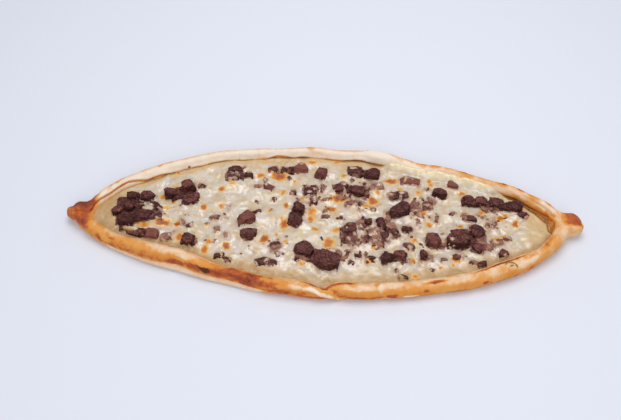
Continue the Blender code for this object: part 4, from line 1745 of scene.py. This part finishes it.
RIM_LUMPS = dabs(Bank.NEAR, (
    (-49, 0.97, 5, 5, 1.1), (-47, 0.62, 5, 5, 1.0), (-43, 0.83, 5, 5, 1.0),
    (-53, 0.72, 4, 4, 1.0), (-59, 0.90, 5, 5, 1.0), (-66, 0.75, 6, 6, 0.9),
    (-72, 0.98, 7, 7, 1.0), (-80, 0.85, 6, 5, 0.8), (58, 0.20, 7, 5, 0.4),
    (-64, 1.05, 4, 4, 0.9), (-75, 0.60, 5, 4, 0.8), (-56, 0.48, 4, 4, 0.8), (-37, 0.60, 5, 4, 0.7),
    (110, 0.60, 14, 8, 0.4), (135, 0.20, 8, 6, 0.4), (-160, 0.60, 18, 7, 0.5),
), MM) + dabs(Bank.FAR, (
    (48, 1.20, 18, 8, 1.1), (48, 1.62, 19, 8, 1.5), (-75, 1.55, 34, 8, 0.7),
    (-13, 1.00, 7, 4, 0.8), (41, 0.80, 5, 4, 0.5),
    (84, 0.60, 22, 6, 1.0), (-70, 1.30, 16, 7, 0.4), (110, 1.20, 20, 6, 0.5),
    (176, 1.30, 16, 6, 0.5), (-30, 1.30, 30, 7, 0.3),
), MM)
RIM_CREASES = (
    Crease(Bank.NEAR, -0.002, 1.60, 0.024, -0.70, 0.0014, -0.0015),
    Crease(Bank.NEAR, -0.036, 0.52, -0.008, 0.76, 0.0020, 0.0009),
    Crease(Bank.NEAR, -0.010, 0.90, 0.018, -0.60, 0.0022, 0.0013),
    Crease(Bank.NEAR, -0.040, 0.22, -0.004, 0.34, 0.0014, -0.0007),
    Crease(Bank.FAR, -0.080, 2.00, -0.080, 0.80, 0.0007, -0.0005),
    Crease(Bank.FAR, -0.062, 1.95, -0.062, 0.80, 0.0007, -0.0005),
    Crease(Bank.FAR, -0.194, 1.80, -0.191, 0.60, 0.0008, -0.0006),
    Crease(Bank.FAR, 0.034, 1.90, 0.036, 0.80, 0.0010, -0.0006),
    Crease(Bank.FAR, 0.062, 1.90, 0.064, 0.80, 0.0012, -0.0007),
    Crease(Bank.NEAR, 0.046, 1.20, 0.052, -0.40, 0.0012, -0.0007),
    Crease(Bank.NEAR, 0.124, 1.10, 0.128, -0.30, 0.0012, -0.0005),
    Crease(Bank.FAR, 0.165, 1.05, 0.200, 1.60, 0.0010, -0.0006),
    Crease(Bank.NEAR, 0.194, 1.70, 0.206, 0.80, 0.0009, -0.0009),
    Crease(Bank.FAR, 0.196, 1.80, 0.209, 0.70, 0.0009, -0.0009),
)
TOASTED = tuple(Spot(*row) for row in (
    (-156, -11, 10, 6, 0.5), (-144, 21, 6, 5, 0.45), (-140, -8, 12, 6, 0.95),
    (-139, 8, 6, 4, 0.3), (-135, 51, 4, 4, 0.5), (-134, 15, 4, 4, 0.5),
    (-134, 31, 6, 7, 0.35), (-127, -10, 5, 5, 0.9), (-123, -24, 5, 8, 0.6),
    (-106, 10, 5, 6, 0.7), (-101, -9, 3, 3, 0.6), (-100, -36, 6, 8, 0.6),
    (-97, -28, 5, 6, 0.55), (-93, 32, 5, 5, 0.7), (-91, 12, 5, 6, 0.5),
    (-83, 38, 7, 4, 0.35), (-82, -32, 6, 6, 0.9), (-58, 49, 8, 5, 0.6),
    (-50, -24, 7, 7, 0.85), (-47, 8, 3, 4, 0.45), (-41, 49, 13, 9, 0.8),
    (-40, -18, 3, 4, 0.5), (-37, 29, 4, 6, 0.55), (-36, -1, 3, 4, 0.5),
    (-34, -7, 6, 10, 0.75), (-33, 14, 5, 6, 0.7), (-32, -26, 4, 4, 0.45),
    (-27, 42, 3, 4, 0.5), (-19, 22, 4, 4, 0.5), (-17, -48, 6, 4, 0.45),
    (-11, 0, 6, 6, 0.6), (-11, 67, 8, 5, 0.55), (-10, 7, 8, 9, 0.45),
    (-7, -12, 7, 4, 0.5), (5, -26, 9, 10, 0.6), (6, 11, 10, 6, 0.7),
    (12, -12, 7, 5, 0.5), (12, 69, 6, 4, 0.5), (13, 23, 12, 9, 0.75),
    (14, -39, 3, 6, 0.4), (18, 51, 6, 4, 0.5), (38, 15, 6, 4, 0.5),
    (40, -45, 7, 6, 0.35), (43, -31, 4, 5, 0.4), (44, 21, 8, 8, 0.85),
    (49, 31, 4, 4, 0.45), (54, 46, 4, 3, 0.5), (59, -41, 6, 6, 0.7),
    (61, 46, 10, 7, 0.8), (67, -36, 5, 5, 0.6), (69, 36, 4, 5, 0.4),
    (76, -43, 4, 5, 0.55), (77, -58, 6, 4, 0.5), (78, -22, 5, 5, 0.55),
    (85, 32, 5, 5, 0.5), (88, 8, 4, 6, 0.65), (91, 63, 7, 6, 0.45),
    (92, -4, 6, 5, 0.55), (96, 47, 4, 4, 0.55), (99, -49, 4, 3, 0.5),
    (109, -46, 3, 4, 0.45), (112, -40, 7, 6, 0.65), (119, -5, 5, 4, 0.55),
    (124, 32, 7, 4, 0.6), (139, 11, 6, 5, 0.5), (148, -20, 6, 6, 0.4),
    (155, -15, 6, 4, 0.4), (155, 5, 6, 6, 0.65), (160, 8, 4, 4, 0.45),
    (167, -1, 5, 6, 0.75), (97, 43, 5, 5, 0.45),
))
SPILLS = (
    Spot(-155, 7, 10, 9, 1.8),
    Spot(-166, -17, 13, 5, 1.9), Spot(-63, -11, 17, 5, 1.9), Spot(18, 37, 8, 6, 1.0),
    Spot(50, 40, 9, 6, 1.1), Spot(84, 20, 9, 6, 1.1), Spot(95, 13, 7, 6, 1.0),
    Spot(-13, 27, 7, 5, 1.0), Spot(147, -24, 7, 6, 1.1), Spot(-84, 49, 9, 6, 1.0),
    Spot(74, -30, 7, 6, 1.0), Spot(153, -38, 6, 5, 1.1), Spot(27, 59, 10, 4, 1.0),
    Spot(-44, 31, 8, 4, 1.0), Spot(70, 29, 8, 5, 1.1), Spot(24, -29, 8, 5, 1.0),
    Spot(-21, 61, 8, 4, 1.0), Spot(109, -25, 6, 6, 1.0),
)
BARE = (
    Spot(-168, 2, 34, 42, 1.0), Spot(152, 19, 54, 16, 1.0), Spot(-127, 26, 34, 26, 1.0),
    Spot(-5, -41, 38, 24, 1.0), Spot(120, -18, 38, 30, 1.0), Spot(67, 10, 22, 18, 1.0),
    Spot(-24, 2, 16, 30, 1.0), Spot(-65, -11, 20, 34, 1.0), Spot(-152, -22, 30, 12, 1.0),
    Spot(94, -23, 16, 16, 1.0), Spot(37, 54, 36, 14, 0.8), Spot(-16, 55, 34, 18, 0.8),
    Spot(117, 41, 18, 12, 1.0),
)
SMALL_BITS = (
    Bit(-172, -16, 9, 7, 13.5), Bit(-153, -22, 7, 7, 14.5), Bit(-111, 34, 8, 6, 12.5),
    Bit(-116, -11, 7, 6, 12.3), Bit(-87, -43, 10, 6, 13.0), Bit(-79, -46, 7, 5, 12.0),
    Bit(-69, 48, 9, 8, 14.0), Bit(-31, 53, 7, 4, 12.0), Bit(-44, 21, 5, 4, 12.0),
    Bit(-27, 29, 6, 5, 12.3), Bit(-8, 17, 8, 6, 12.5), Bit(33, 17, 6, 5, 12.5),
    Bit(39, -4, 8, 7, 15.0), Bit(2, 2, 9, 5, 12.0), Bit(39, -22, 10, 8, 13.0),
    Bit(-40, -31, 10, 7, 13.5, 32), Bit(24, -46, 6, 5, 12.0), Bit(30, -40, 7, 5, 12.5),
    Bit(41, -44, 10, 8, 13.0), Bit(117, 41, 11, 6, 14.6, -12, 1.0), Bit(72, -11, 9, 7, 14.0),
    Bit(85, -39, 7, 9, 17.0), Bit(113, -38, 8, 6, 12.5, 0, 0.6), Bit(133, -46, 9, 7, 14.0),
    Bit(158, -17, 9, 6, 12.0, 0, 0.5), Bit(67, -60, 10, 5, 12.5), Bit(-59, 5, 12, 4, 12.5, 38),
)
BEDS = (
    Bit(-170, 4, 28, 30, 14.2, 10), Bit(-152, 0, 24, 15, 12.6, 5), Bit(-156, -20, 34, 9, 12.2, -10),
    Bit(134, 21.5, 26, 11, 15.2, -4), Bit(158, 17.5, 30, 10, 15.0, -8),
    Bit(-128, 26, 24, 18, 13.2, 20), Bit(-83, 50, 18, 18, 12.2, 10), Bit(150, 19, 56, 9, 13.4, -6),
    Bit(124, -18, 34, 20, 13.0, 0), Bit(56, -14, 20, 20, 12.4, 20), Bit(22, -18, 16, 22, 12.4, 5),
    Bit(37, 54, 30, 10, 12.6, -3), Bit(22, 33, 26, 11, 13.0, 3), Bit(-24, 2, 12, 22, 12.8, -10),
    Bit(-5, -41, 36, 16, 12.8, -20), Bit(60, -41, 24, 9, 12.8, 0), Bit(-32, 57, 34, 7, 12.0, 8),
)
STREWN = strewn((
    (20, 25, 44, 28, 18), (50, -8, 36, 28, 16), (-8, 20, 24, 22, 8), (20, -40, 44, 10, 7),
    (90, 12, 30, 26, 8), (140, -20, 20, 14, 6), (-100, 0, 40, 28, 6), (-40, -36, 30, 12, 6),
    (78, -42, 26, 10, 5), (100, -38, 30, 14, 4), (-60, 40, 24, 14, 4), (148, 2, 16, 12, 4),
))
BITES = tuple(Bite(*row) for row in (
    (12, 130, 0.62), (12, 230, 0.75), (18, 140, 0.45), (18, 30, 0.75), (19, 150, 0.55),
    (19, -30, 0.70), (22, 60, 0.50), (22, 200, 0.70), (27, 135, 0.60), (27, -60, 0.72),
    (28, 235, 0.55), (28, -50, 0.60), (30, 40, 0.70), (31, 150, 0.60), (33, 200, 0.60),
    (34, 100, 0.60), (36, 215, 0.72), (36, 120, 0.62), (37, 45, 0.68), (37, 130, 0.78),
    (37, 225, 0.70), (46, 130, 0.55), (46, -20, 0.80), (51, 250, 0.60), (51, 60, 0.72),
    (54, 135, 0.66), (54, 45, 0.72), (54, -45, 0.74), (54, 215, 0.80), (56, 200, 0.62),
    (56, 20, 0.70), (13, -60, 0.70), (13, 120, 0.75), (7, 240, 0.72), (4, -30, 0.75),
    (35, 80, 0.60), (38, 150, 0.62), (39, -40, 0.62), (53, -60, 0.60), (55, 200, 0.60),
))
SLICED = {
    4: 0.35, 8: 0.10, 9: 0.45, 12: 0.20, 18: 0.65, 19: 0.20, 22: 0.65, 27: 0.50, 28: 0.35,
    33: -0.10, 34: 0.10, 36: -0.20, 50: 0.55, 51: 0.0, 56: 0.35,
}
SMEARS = (
    (3, 0.15), (10, 0.55), (14, 0.15), (16, 0.20), (17, 0.15), (22, 0.10), (23, 0.35),
    (24, 0.15), (25, 0.25), (26, 0.60), (29, 0.15), (30, 0.15), (31, 0.35), (32, 0.40),
    (33, 0.15), (34, 0.30), (35, 0.25), (38, 0.20), (39, 0.25), (40, 0.35), (45, 0.10),
    (47, 0.35), (48, 0.55), (49, 0.50), (50, 0.20), (52, 0.15), (53, 0.10), (55, 0.15),
    (56, 0.20), (58, 0.50),
)
CRUMB_PATCHES = (
    Scatter(-110, 2, 30, 22, 22), Scatter(-70, 20, 34, 22, 16), Scatter(-90, -30, 26, 14, 14),
    Scatter(-40, -35, 26, 12, 30), Scatter(-5, 15, 30, 24, 50), Scatter(35, 20, 26, 26, 110),
    Scatter(45, -20, 26, 26, 90), Scatter(85, 10, 26, 24, 60), Scatter(120, -15, 24, 20, 40),
    Scatter(150, 0, 16, 14, 40), Scatter(10, -30, 28, 14, 40), Scatter(90, -40, 22, 12, 30),
)


LEAVES = (
    Leaf(152.6, -46.0, 5.0, 1.0, 58.0, 0.7), Leaf(156.5, -45.2, 6.0, 1.1, -14.0, 0.9),
    Leaf(160.4, -47.6, 4.5, 1.0, -50.0, 0.7), Leaf(156.4, -48.2, 3.5, 0.9, 24.0, -0.6),
)


def main() -> None:
    """Build the pide in order: finishes, crust, herb, meat, crumbs and cheese."""
    logging.basicConfig(level=logging.INFO, format="%(name)s: %(message)s")
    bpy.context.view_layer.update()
    effects = SharedEffects()
    mottle, pores = effects.mottle(), effects.pores()
    hull = Hull()
    Studio().build()
    crust = Crust(hull=hull, finish=CrustFinish().make(mottle, pores), bakes_and_shade=RIM_BAKES_AND_SHADE,
                  chars_and_shade=RIM_CHARS_AND_SHADE, lumps=RIM_LUMPS, creases=RIM_CREASES).build()
    Herb(hull=hull, finish=HerbFinish().make(mottle), leaves=LEAVES).build(crust)
    meat = Meat(hull=hull, finish=MeatFinish().make(mottle, pores),
                bits=SMALL_BITS + BEDS + STREWN, bites=BITES, smears=SMEARS,
                sliced=SLICED)
    names = sorted(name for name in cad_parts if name.startswith("meat_"))
    made = [meat.chunk(name, number) for number, name in enumerate(names, start=1)]
    made.append(meat.small_bits())
    shapes = bmesh.new()
    for chunk in made:
        shapes.from_mesh(chunk.data)
    chunks = BVHTree.FromBMesh(shapes)
    shapes.free()
    crumbs = Crumbs(hull=hull, finish=meat.finish, patches=CRUMB_PATCHES)
    cheese = Cheese(hull=hull, finish=CheeseFinish().make(mottle, pores), chunks=chunks,
                    crumbs=crumbs.scatter(), spots=TOASTED, spills=SPILLS, bare=BARE)
    cheese.build()
    crumbs.build(cheese)


if __name__ == "__main__":
    main()
